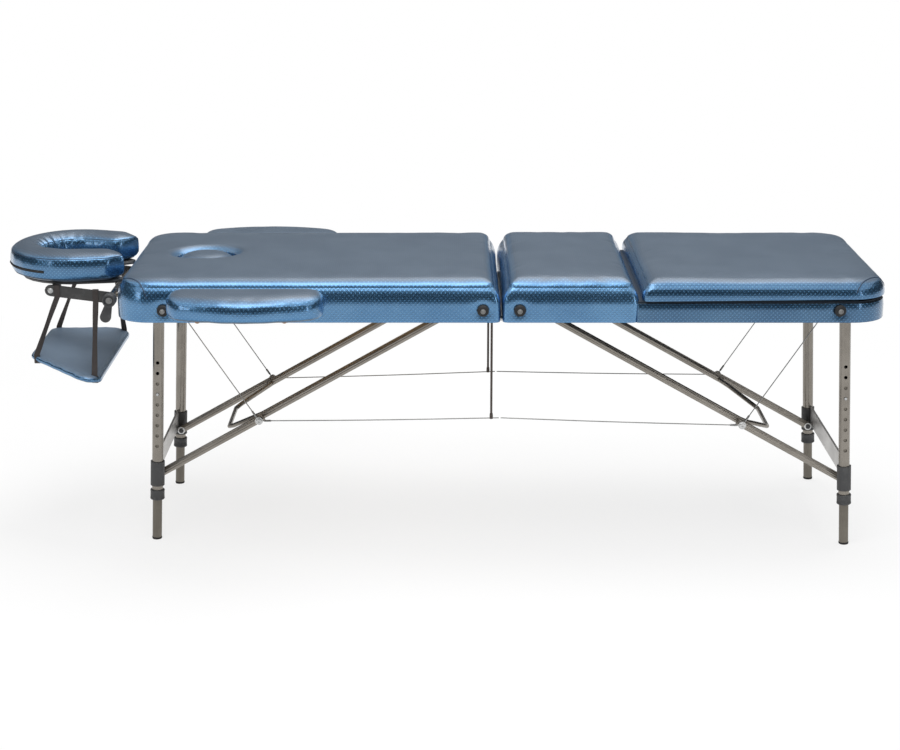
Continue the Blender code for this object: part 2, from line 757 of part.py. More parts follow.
# Plug of the breathing hole.
plug_half_length = HOLE_HALF_LENGTH - PLUG_CLEARANCE
plug_half_width = HOLE_HALF_WIDTH - PLUG_CLEARANCE
plug_reach = plug_half_width - CROWN_FLAT / 2
plug_rings = []
for inset, height in pad_levels(DECK_Z, TOP_Z, PLUG_ROLL, CROWN, plug_reach, PLUG_TUCK):
    outline = ellipse((HOLE_X, 0), plug_half_length - inset, plug_half_width - inset)
    plug_rings.append([(x, y, height) for x, y in outline])
part("face_plug", loft(plug_rings), "vinyl", AXES["table"])


# Bumpers on the near side, on which the closed case stands

bumper_profile = (
    (0.0, BUMPER_HEIGHT), (0.55 * BUMPER_RADIUS, BUMPER_HEIGHT), (0.9 * BUMPER_RADIUS, 0.75 * BUMPER_HEIGHT),
    (BUMPER_RADIUS, 0.4 * BUMPER_HEIGHT), (BUMPER_RADIUS, 0.0), (0.0, 0.0))
for side, end, _ in SIDES:
    empty = AXES["table"] if side < 0 else AXES["center_fold"]
    places = (("outer", HALF_LENGTH - BUMPER_FROM_END), ("inner", BUMPER_FROM_FOLD))
    for place, x in places:
        base = (side * x, -HALF_WIDTH - CLEARANCE, BUMPER_Z)
        part("bumper_" + end + "_" + place, turned(bumper_profile, base, (0, -1, 0)), "plastic", empty)


# Carry handles and case latches on the far side

def handle_route(side):
    start = side * HANDLE_FROM_FOLD
    finish = side * (HANDLE_FROM_FOLD + HANDLE_SPAN)
    root = HALF_WIDTH + CLEARANCE
    peak = HALF_WIDTH + HANDLE_STAND
    points = [(start, root, HANDLE_Z)]
    for i in range(HANDLE_ARCH_STEPS + 1):
        share = i / HANDLE_ARCH_STEPS
        lift = math.sin(math.radians(27 + 126 * share))
        points.append((start + (finish - start) * share, root + (peak - root) * lift, HANDLE_Z))
    points.append((finish, root, HANDLE_Z))
    return points


for side, end, _ in SIDES:
    empty = AXES["table"] if side < 0 else AXES["center_fold"]
    part(end + "_carry_handle", poly_curve(handle_route(side), HANDLE_RADIUS, 2), "plastic", empty)

# Each hook hangs beside the place where the other half's stud arrives, and swings over to catch it.
STUD_DROP = 2 * (LATCH_Z - HINGE_Z)
LATCH_REACH = math.hypot(LATCH_OFFSET, STUD_DROP)
LATCH_PIVOTS = [(-stud_x - LATCH_OFFSET, LATCH_Z) for stud_x in STUD_XS]
for index, pivot in enumerate(LATCH_PIVOTS):
    name = "case_latch_" + str(index + 1)
    empty = axis_empty(name + "_axis", (pivot[0], HALF_WIDTH, pivot[1]))
    tip = (pivot[0], pivot[1] - LATCH_REACH - LATCH_TIP)
    y_low = HALF_WIDTH + CLEARANCE
    blade = side_prism(capsule(tip, pivot, LATCH_WIDTH / 2), y_low, y_low + LATCH_THICKNESS)
    latch = part(name, blade, "steel", empty)
    slot_z = pivot[1] - LATCH_REACH
    slot_half = STUD_RADIUS + LATCH_SLOT_GAP
    cut(latch, box(
        (pivot[0] - STUD_RADIUS, pivot[0] + LATCH_WIDTH), (HALF_WIDTH, y_low + 2 * LATCH_THICKNESS),
        (slot_z - slot_half, slot_z + slot_half)))


# Legs, collars, telescopic lower tubes and snap buttons

def button_t():
    return FIRST_HOLE_DROP + HOLE_PITCH * BUTTON_HOLE_INDEX


def outward(point, flank, distance):
    return point + Vector((0, flank * distance, 0))


def upper_tube(side, y):
    return leg_point(side, y, -CROSS_TUBE_RADIUS), leg_point(side, y, UPPER_TUBE_LENGTH)


def build_leg_frame(side, end, leg_y, empty):
    cross_y = RAIL_INNER_Y - CROSS_TUBE_END_GAP
    pivot = leg_point(side, 0, 0)
    cross_tube = rod(at_y(pivot, -cross_y), at_y(pivot, cross_y), CROSS_TUBE_RADIUS, 14)
    leg_frame = part(end + "_leg_frame", cross_tube, "tube", empty)
    for flank, _ in FLANKS:
        y = flank * leg_y
        ring_start = leg_point(side, y, UPPER_TUBE_LENGTH - END_RING_LENGTH)
        ring_end = leg_point(side, y, UPPER_TUBE_LENGTH + CLEARANCE)
        weld(
            leg_frame,
            rod(*upper_tube(side, y), UPPER_TUBE_RADIUS, 16),
            rod(ring_start, ring_end, END_RING_RADIUS, 16))
    for flank, _ in FLANKS:
        y = flank * leg_y
        bore_start = leg_point(side, y, UPPER_BORE_START)
        bore_end = leg_point(side, y, UPPER_TUBE_LENGTH + END_RING_LENGTH)
        holes = []
        for i in range(HOLE_COUNT):
            centre = leg_point(side, y, FIRST_HOLE_DROP + HOLE_PITCH * i)
            holes.append((centre, outward(centre, flank, 2 * UPPER_TUBE_RADIUS)))
        cut(leg_frame, rod(bore_start, bore_end, UPPER_BORE_RADIUS, 16), rods(holes, HOLE_RADIUS, 8))


def build_cross_plate(side, end, leg_y, empty):
    # A plate between two collars, with the pins that carry the lower braces.
    plate_y = leg_y - COLLAR_RADIUS / 2
    corners = []
    for along, inward in ((0, -0.5), (0, 0.5), (1, 0.5), (1, -0.5)):
        t = PLATE_START_DROP + PLATE_HEIGHT * along
        corner = leg_point(side, 0, t, PLATE_THICKNESS * inward - PLATE_SETBACK)
        corners.append((corner.x, corner.z))
    cross_plate = part(end + "_cross_plate", side_prism(corners, -plate_y, plate_y), "plastic", empty)
    pivot = brace_points(side)[0]
    for flank, _ in FLANKS:
        y = flank * leg_y
        collar_start = leg_point(side, y, COLLAR_START_DROP)
        collar_end = leg_point(side, y, COLLAR_START_DROP + COLLAR_LENGTH)
        root_y = flank * (leg_y - COLLAR_RADIUS / 2)
        head_y = flank * (leg_y - BRACE_INSET - BRACE_RADIUS - CLEARANCE)
        end_y = head_y - flank * COLLAR_PIN_HEAD
        weld(
            cross_plate,
            rod(collar_start, collar_end, COLLAR_RADIUS, 16),
            rod(at_y(pivot, root_y), at_y(pivot, head_y), COLLAR_PIN_RADIUS, 10),
            rod(at_y(pivot, head_y), at_y(pivot, end_y), COLLAR_PIN_HEAD_RADIUS, 10))
    for flank, _ in FLANKS:
        cut(cross_plate, rod(*upper_tube(side, flank * leg_y), UPPER_TUBE_RADIUS + CLEARANCE, 16))


def build_lower_leg(side, y, flank, name, empty):
    top = leg_point(side, y, LOWER_TUBE_START)
    bottom = leg_point(side, y, LEG_LENGTH + LOWER_TUBE_RADIUS)
    lower = part(name + "_lower_tube", rod(top, bottom, LOWER_TUBE_RADIUS, 16), "tube", empty)
    bore_end = leg_point(side, y, LEG_LENGTH - FOOT_PLUG_DEPTH)
    foot = leg_point(side, y, LEG_LENGTH)
    room = 4 * LOWER_TUBE_RADIUS
    spot = leg_point(side, y, button_t())
    cut(
        lower,
        rod(leg_point(side, y, UPPER_BORE_START), bore_end, LOWER_BORE_RADIUS, 12),
        box((foot.x - room, foot.x + room), (y - room, y + room), (-room, 0)),
        rod(spot, outward(spot, flank, 2 * UPPER_TUBE_RADIUS), BUTTON_RADIUS + CLEARANCE, 10))
    button_root = outward(spot, flank, BUTTON_ROOT)
    button_tip = outward(spot, flank, UPPER_TUBE_RADIUS + BUTTON_STAND)
    part(name + "_leg_button", rod(button_root, button_tip, BUTTON_RADIUS, 10), "steel", empty)


for side, end, leg_y in SIDES:
    build_leg_frame(side, end, leg_y, AXES[end + "_leg"])
    build_cross_plate(side, end, leg_y, AXES[end + "_leg"])
    for flank, flank_name in FLANKS:
        name = end + "_" + flank_name
        build_lower_leg(side, flank * leg_y, flank, name, AXES[name + "_leg_slide"])


# Folding braces, release bows and wires

def wire_y(leg_y):
    outer_face = leg_y - BRACE_INSET + BRACE_RADIUS
    inner_face = leg_y - UPPER_TUBE_RADIUS
    return (outer_face + inner_face) / 2


CENTRE_WIRE_Y = (wire_y(HEAD_LEG_Y) + wire_y(FOOT_LEG_Y)) / 2


def build_braces(side, end, leg_y):
    low, knee, high = brace_points(side)
    along = (high - low).normalized()
    lower_y = leg_y - BRACE_INSET
    upper_y = lower_y - BRACE_STEP
    axle_y = RAIL_INNER_Y - CLEARANCE
    axle = rod(at_y(high, -axle_y), at_y(high, axle_y), BRACE_AXLE_RADIUS, 12)
    upper = part(end + "_upper_brace", axle, "tube", AXES[end + "_upper_brace"])
    for flank, flank_name in FLANKS:
        y = flank * upper_y
        top, bottom = at_y(high + along * BRACE_TAIL, y), at_y(knee - along * KNEE_TAIL, y)
        weld(upper, rod(top, bottom, BRACE_RADIUS, 12))
        y = flank * lower_y
        top, bottom = at_y(knee + along * KNEE_TAIL, y), at_y(low - along * BRACE_TAIL, y)
        strut = part(
            end + "_" + flank_name + "_lower_brace", rod(top, bottom, BRACE_RADIUS, 12),
            "tube", AXES[end + "_lower_brace"])
        bore = (at_y(low, y - 2 * BRACE_RADIUS), at_y(low, y + 2 * BRACE_RADIUS))
        cut(strut, rod(*bore, COLLAR_PIN_RADIUS + CLEARANCE, 10))

    # The bow springs from the inner faces of the upper braces at the knee.
    root_y = upper_y - BRACE_RADIUS - CLEARANCE
    near_half = [
        at_y(knee, -root_y),
        at_y(knee, -root_y + 2 * BOW_RADIUS),
        at_y(knee - along * BOW_SHOULDER, -root_y + 4 * BOW_RADIUS),
        at_y(knee - along * BOW_ELBOW, -BOW_HALF_WIDTH - BOW_RADIUS),
        at_y(knee - along * BOW_REACH, -BOW_HALF_WIDTH + 2 * BOW_RADIUS)]
    far_half = [at_y(point, -point.y) for point in reversed(near_half)]
    bow = poly_curve(near_half + far_half, BOW_RADIUS, 2)
    part(end + "_release_bow", bow, "tube", AXES[end + "_upper_brace"])


def build_wires(side, end, leg_y, empty):
    # Each wire runs from under the deck to the knee and on to the fold.
    knee = brace_points(side)[1]
    anchor = Vector((side * (HALF_LENGTH - STAY_FROM_END), 0, DECK_Z - 2 * CLEARANCE))
    fold_end = Vector((side * FOLD_GAP, 0, WIRE_SAG_Z))
    middle = (knee + fold_end) / 2 - Vector((0, 0, WIRE_SLACK))
    for flank, flank_name in FLANKS:
        y = flank * wire_y(leg_y)
        centre_y = flank * CENTRE_WIRE_Y
        route = [
            at_y(anchor, y), at_y(anchor - Vector((0, 0, WIRE_DROP)), y), at_y((knee + anchor) / 2, y),
            at_y(knee, y), at_y(middle, (y + centre_y) / 2), at_y(fold_end, centre_y)]
        part(end + "_" + flank_name + "_wire", poly_curve(route, WIRE_RADIUS, 1), "steel", empty)


for side, end, leg_y in SIDES:
    build_braces(side, end, leg_y)
    build_wires(side, end, leg_y, AXES["table"] if side < 0 else AXES["center_fold"])

hanger_x = -HANGER_FROM_FOLD
hanger_top = DECK_Z - HANGER_RADIUS - CLEARANCE
hanger_bend = 3 * HANGER_RADIUS
hanger_cut = HANGER_BEND_SHARE * hanger_bend
hanger_end = WIRE_SAG_Z + WIRE_RADIUS + 2 * CLEARANCE
near_drop = [
    (hanger_x, -CENTRE_WIRE_Y, hanger_end),
    (hanger_x, -CENTRE_WIRE_Y, hanger_top - hanger_bend),
    (hanger_x, -CENTRE_WIRE_Y + hanger_cut, hanger_top - hanger_cut),
    (hanger_x, -CENTRE_WIRE_Y + hanger_bend, hanger_top)]
far_drop = [(x, -y, z) for x, y, z in reversed(near_drop)]
part("hanger_cord", poly_curve(near_drop + far_drop, HANGER_RADIUS, 2), "webbing", AXES["table"])


# Face cradle: prong bracket, arms, cam lever, platform and crescent cushion

crossbar_y = ARM_PLATE_Y - CLEARANCE
crossbar = rod(at_y(CRADLE_AXIS, -crossbar_y), at_y(CRADLE_AXIS, crossbar_y), CROSSBAR_RADIUS, 14)
bracket = part("cradle_bracket", crossbar, "tube", AXES["table"])
for flank, _ in FLANKS:
    tip = Vector((-(HALF_LENGTH - PRONG_DEPTH), flank * PRONG_Y, PRONG_Z))
    weld(bracket, rod(at_y(CRADLE_AXIS, flank * PRONG_Y), tip, PRONG_RADIUS, 12))

arm_outline = capsule((TILT_AXIS.x, TILT_AXIS.z), (CRADLE_AXIS.x, CRADLE_AXIS.z), ARM_PLATE_RADIUS)
arm_outer = ARM_PLATE_Y + ARM_PLATE_THICKNESS
arm_middle = ARM_PLATE_Y + ARM_PLATE_THICKNESS / 2
near_arm = side_prism(arm_outline, -arm_outer, -ARM_PLATE_Y)
cradle_arms = part("cradle_arms", near_arm, "tube", AXES["cradle_tilt"])
weld(
    cradle_arms,
    rod(at_y(TILT_AXIS, -arm_middle), at_y(TILT_AXIS, arm_middle), TILT_ROD_RADIUS, 10),
    side_prism(arm_outline, ARM_PLATE_Y, arm_outer))

lean = math.radians(LEVER_LEAN_DEG)
lever_tip = (CRADLE_AXIS.x - LEVER_LENGTH * math.sin(lean), CRADLE_AXIS.z - LEVER_LENGTH * math.cos(lean))
hub_start = -arm_outer - CLEARANCE
hub_end = hub_start - LEVER_HUB_LENGTH
cam_lever = part(
    "cam_lever", rod(at_y(CRADLE_AXIS, hub_start), at_y(CRADLE_AXIS, hub_end), LEVER_HUB_RADIUS, 14),
    "plastic", AXES["cradle_tilt"])
weld(cam_lever, side_prism(
    capsule(lever_tip, (CRADLE_AXIS.x, CRADLE_AXIS.z), LEVER_WIDTH / 2),
    hub_end - CLEARANCE, hub_end + LEVER_THICKNESS))

TIP_SHARE = 0.45
CUSHION_X = (-(HALF_LENGTH + OVERHANG), -(HALF_LENGTH + CRADLE_GAP))


def crescent_path(limb, inset, steps):
    # Centre line of a horseshoe that opens towards the table.
    half = CUSHION_HALF_WIDTH - limb / 2 - inset
    bend_x = CUSHION_X[0] + limb / 2 + inset + half
    tip_x = CUSHION_X[1] - limb / 2
    near = (tip_x, CUSHION_TOE_IN - half)
    path = [near]
    path += spread(near, (bend_x, -half), 2)
    path += [(x, y) for x, y in arc((bend_x, 0), half, 270, 90, steps)]
    path += [(x, -y) for x, y in reversed(path[:3])]
    return path


def squared(value, squareness):
    return math.copysign(abs(value) ** squareness, value)


def crescent_mesh(limb, inset, tip, low, high, squareness, sides, steps):
    path = [Vector((x, y, 0)) for x, y in crescent_path(limb, inset, steps)]
    first = path[0] + (path[0] - path[1]).normalized() * tip
    last = path[-1] + (path[-1] - path[-2]).normalized() * tip
    stations = [(first, TIP_SHARE)] + [(point, 1.0) for point in path] + [(last, TIP_SHARE)]
    rings = []
    for i, (point, share) in enumerate(stations):
        before = stations[max(i - 1, 0)][0]
        after = stations[min(i + 1, len(stations) - 1)][0]
        across = (after - before).normalized().cross(Vector((0, 0, 1)))
        ring = []
        for k in range(sides):
            angle = 2 * math.pi * k / sides
            wide = squared(math.cos(angle), squareness) * limb / 2 * share
            tall = squared(math.sin(angle), squareness) * (high - low) / 2 * (1 + share) / 2
            spot = point + across * wide
            ring.append((spot.x, spot.y, (low + high) / 2 + tall))
        rings.append(ring)
    return loft(rings)


platform = part(
    "cradle_platform",
    crescent_mesh(
        PLATFORM_LIMB, PLATFORM_INSET, PLATFORM_TIP,
        PLATFORM_Z, PLATFORM_Z + PLATFORM_THICKNESS, 0.45, 8, 12),
    "plastic", AXES["platform_tilt"])
for flank, _ in FLANKS:
    lug_y = flank * TILT_LUG_Y
    reach = TILT_ROD_RADIUS + TILT_LUG_WALL
    weld(platform, box(
        (TILT_AXIS.x - reach, TILT_AXIS.x + reach),
        (lug_y - TILT_LUG_WIDTH / 2, lug_y + TILT_LUG_WIDTH / 2),
        (TILT_AXIS.z - reach, PLATFORM_Z + PLATFORM_THICKNESS / 2)))
tilt_bore = (at_y(TILT_AXIS, -ARM_PLATE_Y), at_y(TILT_AXIS, ARM_PLATE_Y))
cut(platform, rod(*tilt_bore, TILT_ROD_RADIUS + CLEARANCE, 10))

part(
    "cradle_cushion",
    crescent_mesh(
        CUSHION_LIMB, 0.0, CUSHION_TIP, CUSHION_Z, CUSHION_Z + CUSHION_HEIGHT, 0.62, 14, 12),
    "vinyl", AXES["platform_tilt"])


# Arm shelf on two webbing slings

SHELF_X = (-(HALF_LENGTH + SHELF_FROM_END + SHELF_LENGTH), -(HALF_LENGTH + SHELF_FROM_END))
SHELF_TURN = math.radians(SHELF_TILT_DEG)


def shelf_z(x):
    middle = (SHELF_X[0] + SHELF_X[1]) / 2
    return SHELF_Z + (middle - x) * math.tan(SHELF_TURN)


def shelf_outline():
    r = SHELF_CORNER
    half_in = SHELF_INNER_HALF - r
    half_out = SHELF_OUTER_HALF - r
    lean_deg = math.degrees(math.atan2(half_in - half_out, SHELF_X[1] - SHELF_X[0] - 2 * r))
    x_out, x_in = SHELF_X[0] + r, SHELF_X[1] - r
    outline = arc((x_out, -half_out), r, 180, 270 - lean_deg, 4)
    outline += arc((x_in, -half_in), r, 270 - lean_deg, 360, 4)
    outline += arc((x_in, half_in), r, 0, 90 + lean_deg, 4)
    outline += arc((x_out, half_out), r, 90 + lean_deg, 180, 4)
    return outline


shelf_rings = []
shelf_middle = (SHELF_X[0] + SHELF_X[1]) / 2
shelf_levels = (
    (0.0, SHELF_EDGE), (SHELF_EDGE_SHARE, 0.0), (1 - SHELF_EDGE_SHARE, 0.0), (1.0, SHELF_EDGE))
for rise, inset in shelf_levels:
    ring = []
    scale = 1 - inset / SHELF_OUTER_HALF
    for x, y in shelf_outline():
        drawn_x = shelf_middle + (x - shelf_middle) * scale
        ring.append((drawn_x, y * scale, shelf_z(drawn_x) + SHELF_THICKNESS * (rise - 1)))
    shelf_rings.append(ring)
AXES["shelf"] = axis_empty("shelf_axis", (shelf_middle, 0, SHELF_Z))
arm_shelf = part("arm_shelf", loft(shelf_rings), "vinyl", AXES["shelf"])


def shelf_half_width(x):
    share = (x - SHELF_X[0]) / (SHELF_X[1] - SHELF_X[0])
    return SHELF_OUTER_HALF + (SHELF_INNER_HALF - SHELF_OUTER_HALF) * share


def ribbon(route, x, thickness):
    # A flat band of webbing along a route in the YZ plane.
    rings = []
    for i, (y, z) in enumerate(route):
        before = route[max(i - 1, 0)]
        after = route[min(i + 1, len(route) - 1)]
        run = Vector((0, after[0] - before[0], after[1] - before[1])).normalized()
        normal = Vector((1, 0, 0)).cross(run) * (thickness / 2)
        middle = Vector((x, y, z))
        wide = Vector((STRAP_WIDTH / 2, 0, 0))
        corners = ((-1, -1), (1, -1), (1, 1), (-1, 1))
        rings.append([middle + wide * across + normal * through for across, through in corners])
    return loft(rings)


def strap_route(x, slot_y, arm_mid):
    # Over the near arm, down through the shelf, under it and up to the far arm.
    steep = ARM_RISE / ARM_LENGTH
    arm_top = arm_mid + ARM_PLATE_RADIUS * math.hypot(1, steep)
    over = arm_top + STRAP_WIDTH / 2 * steep + CLEARANCE + STRAP_THICKNESS / 2
    inside = ARM_PLATE_Y - CLEARANCE - STRAP_THICKNESS
    outside = arm_outer + CLEARANCE + STRAP_THICKNESS
    fold = STRAP_THICKNESS / 2
    slant = STRAP_WIDTH / 2 * math.tan(SHELF_TURN)
    under = shelf_z(x) - SHELF_THICKNESS - slant - CLEARANCE - fold
    shelf_top = shelf_z(x) + slant + 2 * STRAP_THICKNESS
    near_run = [
        (-inside, arm_mid), (-inside, over - fold), (-inside - fold, over), (-outside + fold, over),
        (-outside, over - fold), (-outside, arm_mid - ARM_PLATE_RADIUS),
        (-slot_y, shelf_top), (-slot_y, under + fold), (-slot_y + fold, under)]
    return near_run + [(-y, z) for y, z in reversed(near_run)]


for index, x in enumerate(STRAP_XS):
    arm_mid = CRADLE_AXIS.z + ARM_RISE * (CRADLE_AXIS.x - x) / ARM_LENGTH
    slot_y = shelf_half_width(x) - STRAP_SLOT_INSET
    band = ribbon(strap_route(x, slot_y, arm_mid), x, STRAP_THICKNESS)
    part("shelf_strap_" + str(index + 1), band, "webbing", AXES["cradle_tilt"])
    gap = STRAP_THICKNESS / 2 + STRAP_SLOT_GAP
    wide = STRAP_WIDTH / 2 + STRAP_SLOT_GAP
    room = 2 * SHELF_CORNER
    for flank, _ in FLANKS:
        middle = flank * slot_y
        cut(arm_shelf, box(
            (x - wide, x + wide), (middle - gap, middle + gap), (SHELF_Z - room, SHELF_Z + room)))


# Side armrests on wooden dowels

ARMREST_X = (-(HALF_LENGTH - ARMREST_FROM_END), -ARMREST_INNER_X)


def armrest_outline(flank, inset):
    # Straight along the table, bowed out on the free side.
    inner = HALF_WIDTH + ARMREST_GAP + inset
    outer = HALF_WIDTH + ARMREST_GAP + ARMREST_WIDTH - ARMREST_BULGE - inset
    corner = max(ARMREST_CORNER - inset, 0.006)
    x_range = (ARMREST_X[0] + inset, ARMREST_X[1] - inset)
    outline = rounded_outline(x_range, (-outer, -inner), (corner, corner), 0.0, (4, 4), side_points=5)
    middle = (x_range[0] + x_range[1]) / 2
    half = (x_range[1] - x_range[0]) / 2
    shaped = []
    for x, y in outline:
        across = (-inner - y) / (outer - inner)
        bow = ARMREST_BULGE * (1 - ((x - middle) / half) ** 2) * across
        shaped.append((x, y - bow))
    if flank > 0:
        shaped = [(x, -y) for x, y in reversed(shaped)]
    return shaped


pad_bottom = ARMREST_Z + ARMREST_BOARD + CLEARANCE
pad_top = pad_bottom + ARMREST_PAD
pad_reach = (ARMREST_WIDTH - ARMREST_BULGE - ARMREST_ROLL) / 2
armrest_levels = pad_levels(
    pad_bottom, pad_top - ARMREST_CROWN, ARMREST_ROLL, ARMREST_CROWN, pad_reach, ARMREST_TUCK)
for flank, flank_name in FLANKS:
    empty = axis_empty(flank_name + "_armrest_axis", (ARMREST_X[0], flank * HALF_WIDTH, DOWEL_Z))
    plate = prism(armrest_outline(flank, ARMREST_BOARD_INSET), ARMREST_Z, ARMREST_Z + ARMREST_BOARD)
    board = part(flank_name + "_armrest_board", plate, "wood", empty)
    inner = flank * (HALF_WIDTH - DOWEL_REACH)
    outer = flank * (HALF_WIDTH + ARMREST_GAP + ARMREST_WIDTH - DOWEL_END_INSET)
    for x in DOWEL_XS:
        weld(board, rod((x, inner, DOWEL_Z), (x, outer, DOWEL_Z), DOWEL_RADIUS, 12))
    rings = [
        [(x, y, height) for x, y in armrest_outline(flank, inset)] for inset, height in armrest_levels]
    part(flank_name + "_armrest_pad", loft(rings), "vinyl", empty)
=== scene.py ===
import math
import bmesh
import bpy
from mathutils import Matrix, Vector


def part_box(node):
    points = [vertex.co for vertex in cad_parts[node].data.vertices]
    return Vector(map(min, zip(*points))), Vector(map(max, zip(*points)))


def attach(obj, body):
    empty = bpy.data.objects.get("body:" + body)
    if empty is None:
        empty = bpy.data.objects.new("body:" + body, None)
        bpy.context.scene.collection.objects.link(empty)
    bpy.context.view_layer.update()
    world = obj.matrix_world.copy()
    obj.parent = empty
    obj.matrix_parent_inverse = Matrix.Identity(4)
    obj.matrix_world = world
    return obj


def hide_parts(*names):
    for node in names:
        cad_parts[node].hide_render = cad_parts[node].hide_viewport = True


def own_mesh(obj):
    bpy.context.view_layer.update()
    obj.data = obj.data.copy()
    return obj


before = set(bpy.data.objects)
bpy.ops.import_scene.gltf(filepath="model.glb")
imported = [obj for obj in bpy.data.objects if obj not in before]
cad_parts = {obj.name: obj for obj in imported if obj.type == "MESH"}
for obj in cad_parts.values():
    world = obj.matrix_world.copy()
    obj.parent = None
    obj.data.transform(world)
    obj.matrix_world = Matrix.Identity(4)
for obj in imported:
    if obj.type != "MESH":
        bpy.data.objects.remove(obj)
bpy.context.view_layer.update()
scene = bpy.context.scene
foldX = 0.1485    # where the fold line stands in the frame
sides = ((-1, "head"), (1, "foot"))
flanks = ((-1, "near"), (1, "far"))
print("frame loaded")


def at(x, y, z):    # x is measured from the fold line
    return Vector((x + foldX, y, z))


# camera and stage

cameraSet = {"lens": 77.906, "place": (0.026, -4.8026, 1.7128), "pitch": 15.69}
lens = bpy.data.cameras.new("photoCamera")
lens.sensor_fit = "HORIZONTAL"
lens.sensor_width = 36
lens.lens = cameraSet["lens"]
camera = bpy.data.objects.new("photoCamera", lens)
camera.location = cameraSet["place"]
camera.rotation_euler = (math.radians(90 - cameraSet["pitch"]), 0, 0)
scene.collection.objects.link(camera)
scene.camera = camera
scene.view_settings.view_transform = "Standard"


class Socket:
    # one output of a node, so that sums of nodes read as sums
    def __init__(self, tree, out=None):
        self.tree = tree
        self.out = out

    def make(self, kind, settings=None, values=None, out=0):    # a short kind is a shader node
        node = self.tree.nodes.new(kind if "Node" in kind else "ShaderNode" + kind)
        for name, value in (settings or {}).items():
            setattr(node, name, value)
        for name, value in (values or {}).items():
            if isinstance(value, Socket):
                self.tree.links.new(value.out, node.inputs[name])
            else:
                node.inputs[name].default_value = value
        if isinstance(out, tuple):
            return [Socket(self.tree, node.outputs[name]) for name in out]
        return Socket(self.tree, node.outputs[out])

    def math(self, operation, *terms):
        return self.make("Math", {"operation": operation}, dict(enumerate(terms)))

    def ease(self, low, high):    # 0 below low, 1 above high
        return self.make(
            "MapRange", {"interpolation_type": "SMOOTHSTEP"},
            {"Value": self, "From Min": low, "From Max": high})

    def split(self):
        return self.make("SeparateXYZ", None, {0: self}, ("X", "Y", "Z"))

    def stretched(self, scale):
        return self.make("Mapping", None, {"Vector": self, "Scale": scale})

    def noise(self, scale, detail=3.0, rough=0.5):
        return self.make(
            "TexNoise", None, {"Vector": self, "Scale": scale, "Detail": detail, "Roughness": rough})

    def tint(self, low, high):    # self is the share of high
        return self.make("Mix", {"data_type": "RGBA"}, {0: self, 6: low, 7: high}, 2)

    def bump(self, strength, distance):
        return self.make("Bump", None, {"Height": self, "Strength": strength, "Distance": distance})


operations = {
    "__add__": "ADD", "__sub__": "SUBTRACT", "__mul__": "MULTIPLY", "__truediv__": "DIVIDE",
    "__abs__": "ABSOLUTE", "least": "MINIMUM", "most": "MAXIMUM", "above": "GREATER_THAN", "wrap": "FRACT",
    "floor": "FLOOR", "root": "SQRT"}


def operator(operation, backwards=False):
    def apply(*terms):
        return terms[0].math(operation, *(reversed(terms) if backwards else terms))
    return apply


for name, operation in operations.items():
    setattr(Socket, name, operator(operation))
for name in ("add", "sub", "mul"):    # a number stands before the socket
    setattr(Socket, "__r" + name + "__", operator(operations["__" + name + "__"], True))


def rgb(red, green, blue):
    return (red, green, blue, 1.0)


def newFinish(name):    # an empty material, and the place on the object
    material = bpy.data.materials.new(name)
    material.use_nodes = True
    material.node_tree.nodes.clear()
    return material, Socket(material.node_tree).make("TexCoord", None, None, "Object")


def rayShare(start):    # 1 for rays that show the stage itself, 0 for those that light it
    seen, glossy, through = start.make(
        "LightPath", None, None, ("Is Camera Ray", "Is Glossy Ray", "Is Transmission Ray"))
    return seen.most(glossy).most(through)


def surface(material, place, **values):
    named = {key.replace("_", " "): value for key, value in values.items()}
    shader = place.make("BsdfPrincipled", None, named)
    place.make("OutputMaterial", None, {"Surface": shader}, ())
    return material


# finishes

vinylSet = {
    "pitch": 0.0102, "dot": 0.0021, "dotDepth": 0.00022, "dotGlintColour": rgb(0.200, 0.400, 0.620),
    "dotGlintShare": 0.52, "metallic": 0.86, "rough": 0.23, "coat": 0.80, "coatRough": 0.16, "lying": 0.66,
    "side": (0.076, 0.213, 0.408), "sideLight": (0.110, 0.270, 0.480),
    # painted shade: top holds the greyer, darker colours that upward faces take for the dim room they reflect
    "top": (0.069, 0.096, 0.132), "topLight": (0.083, 0.113, 0.152),
}


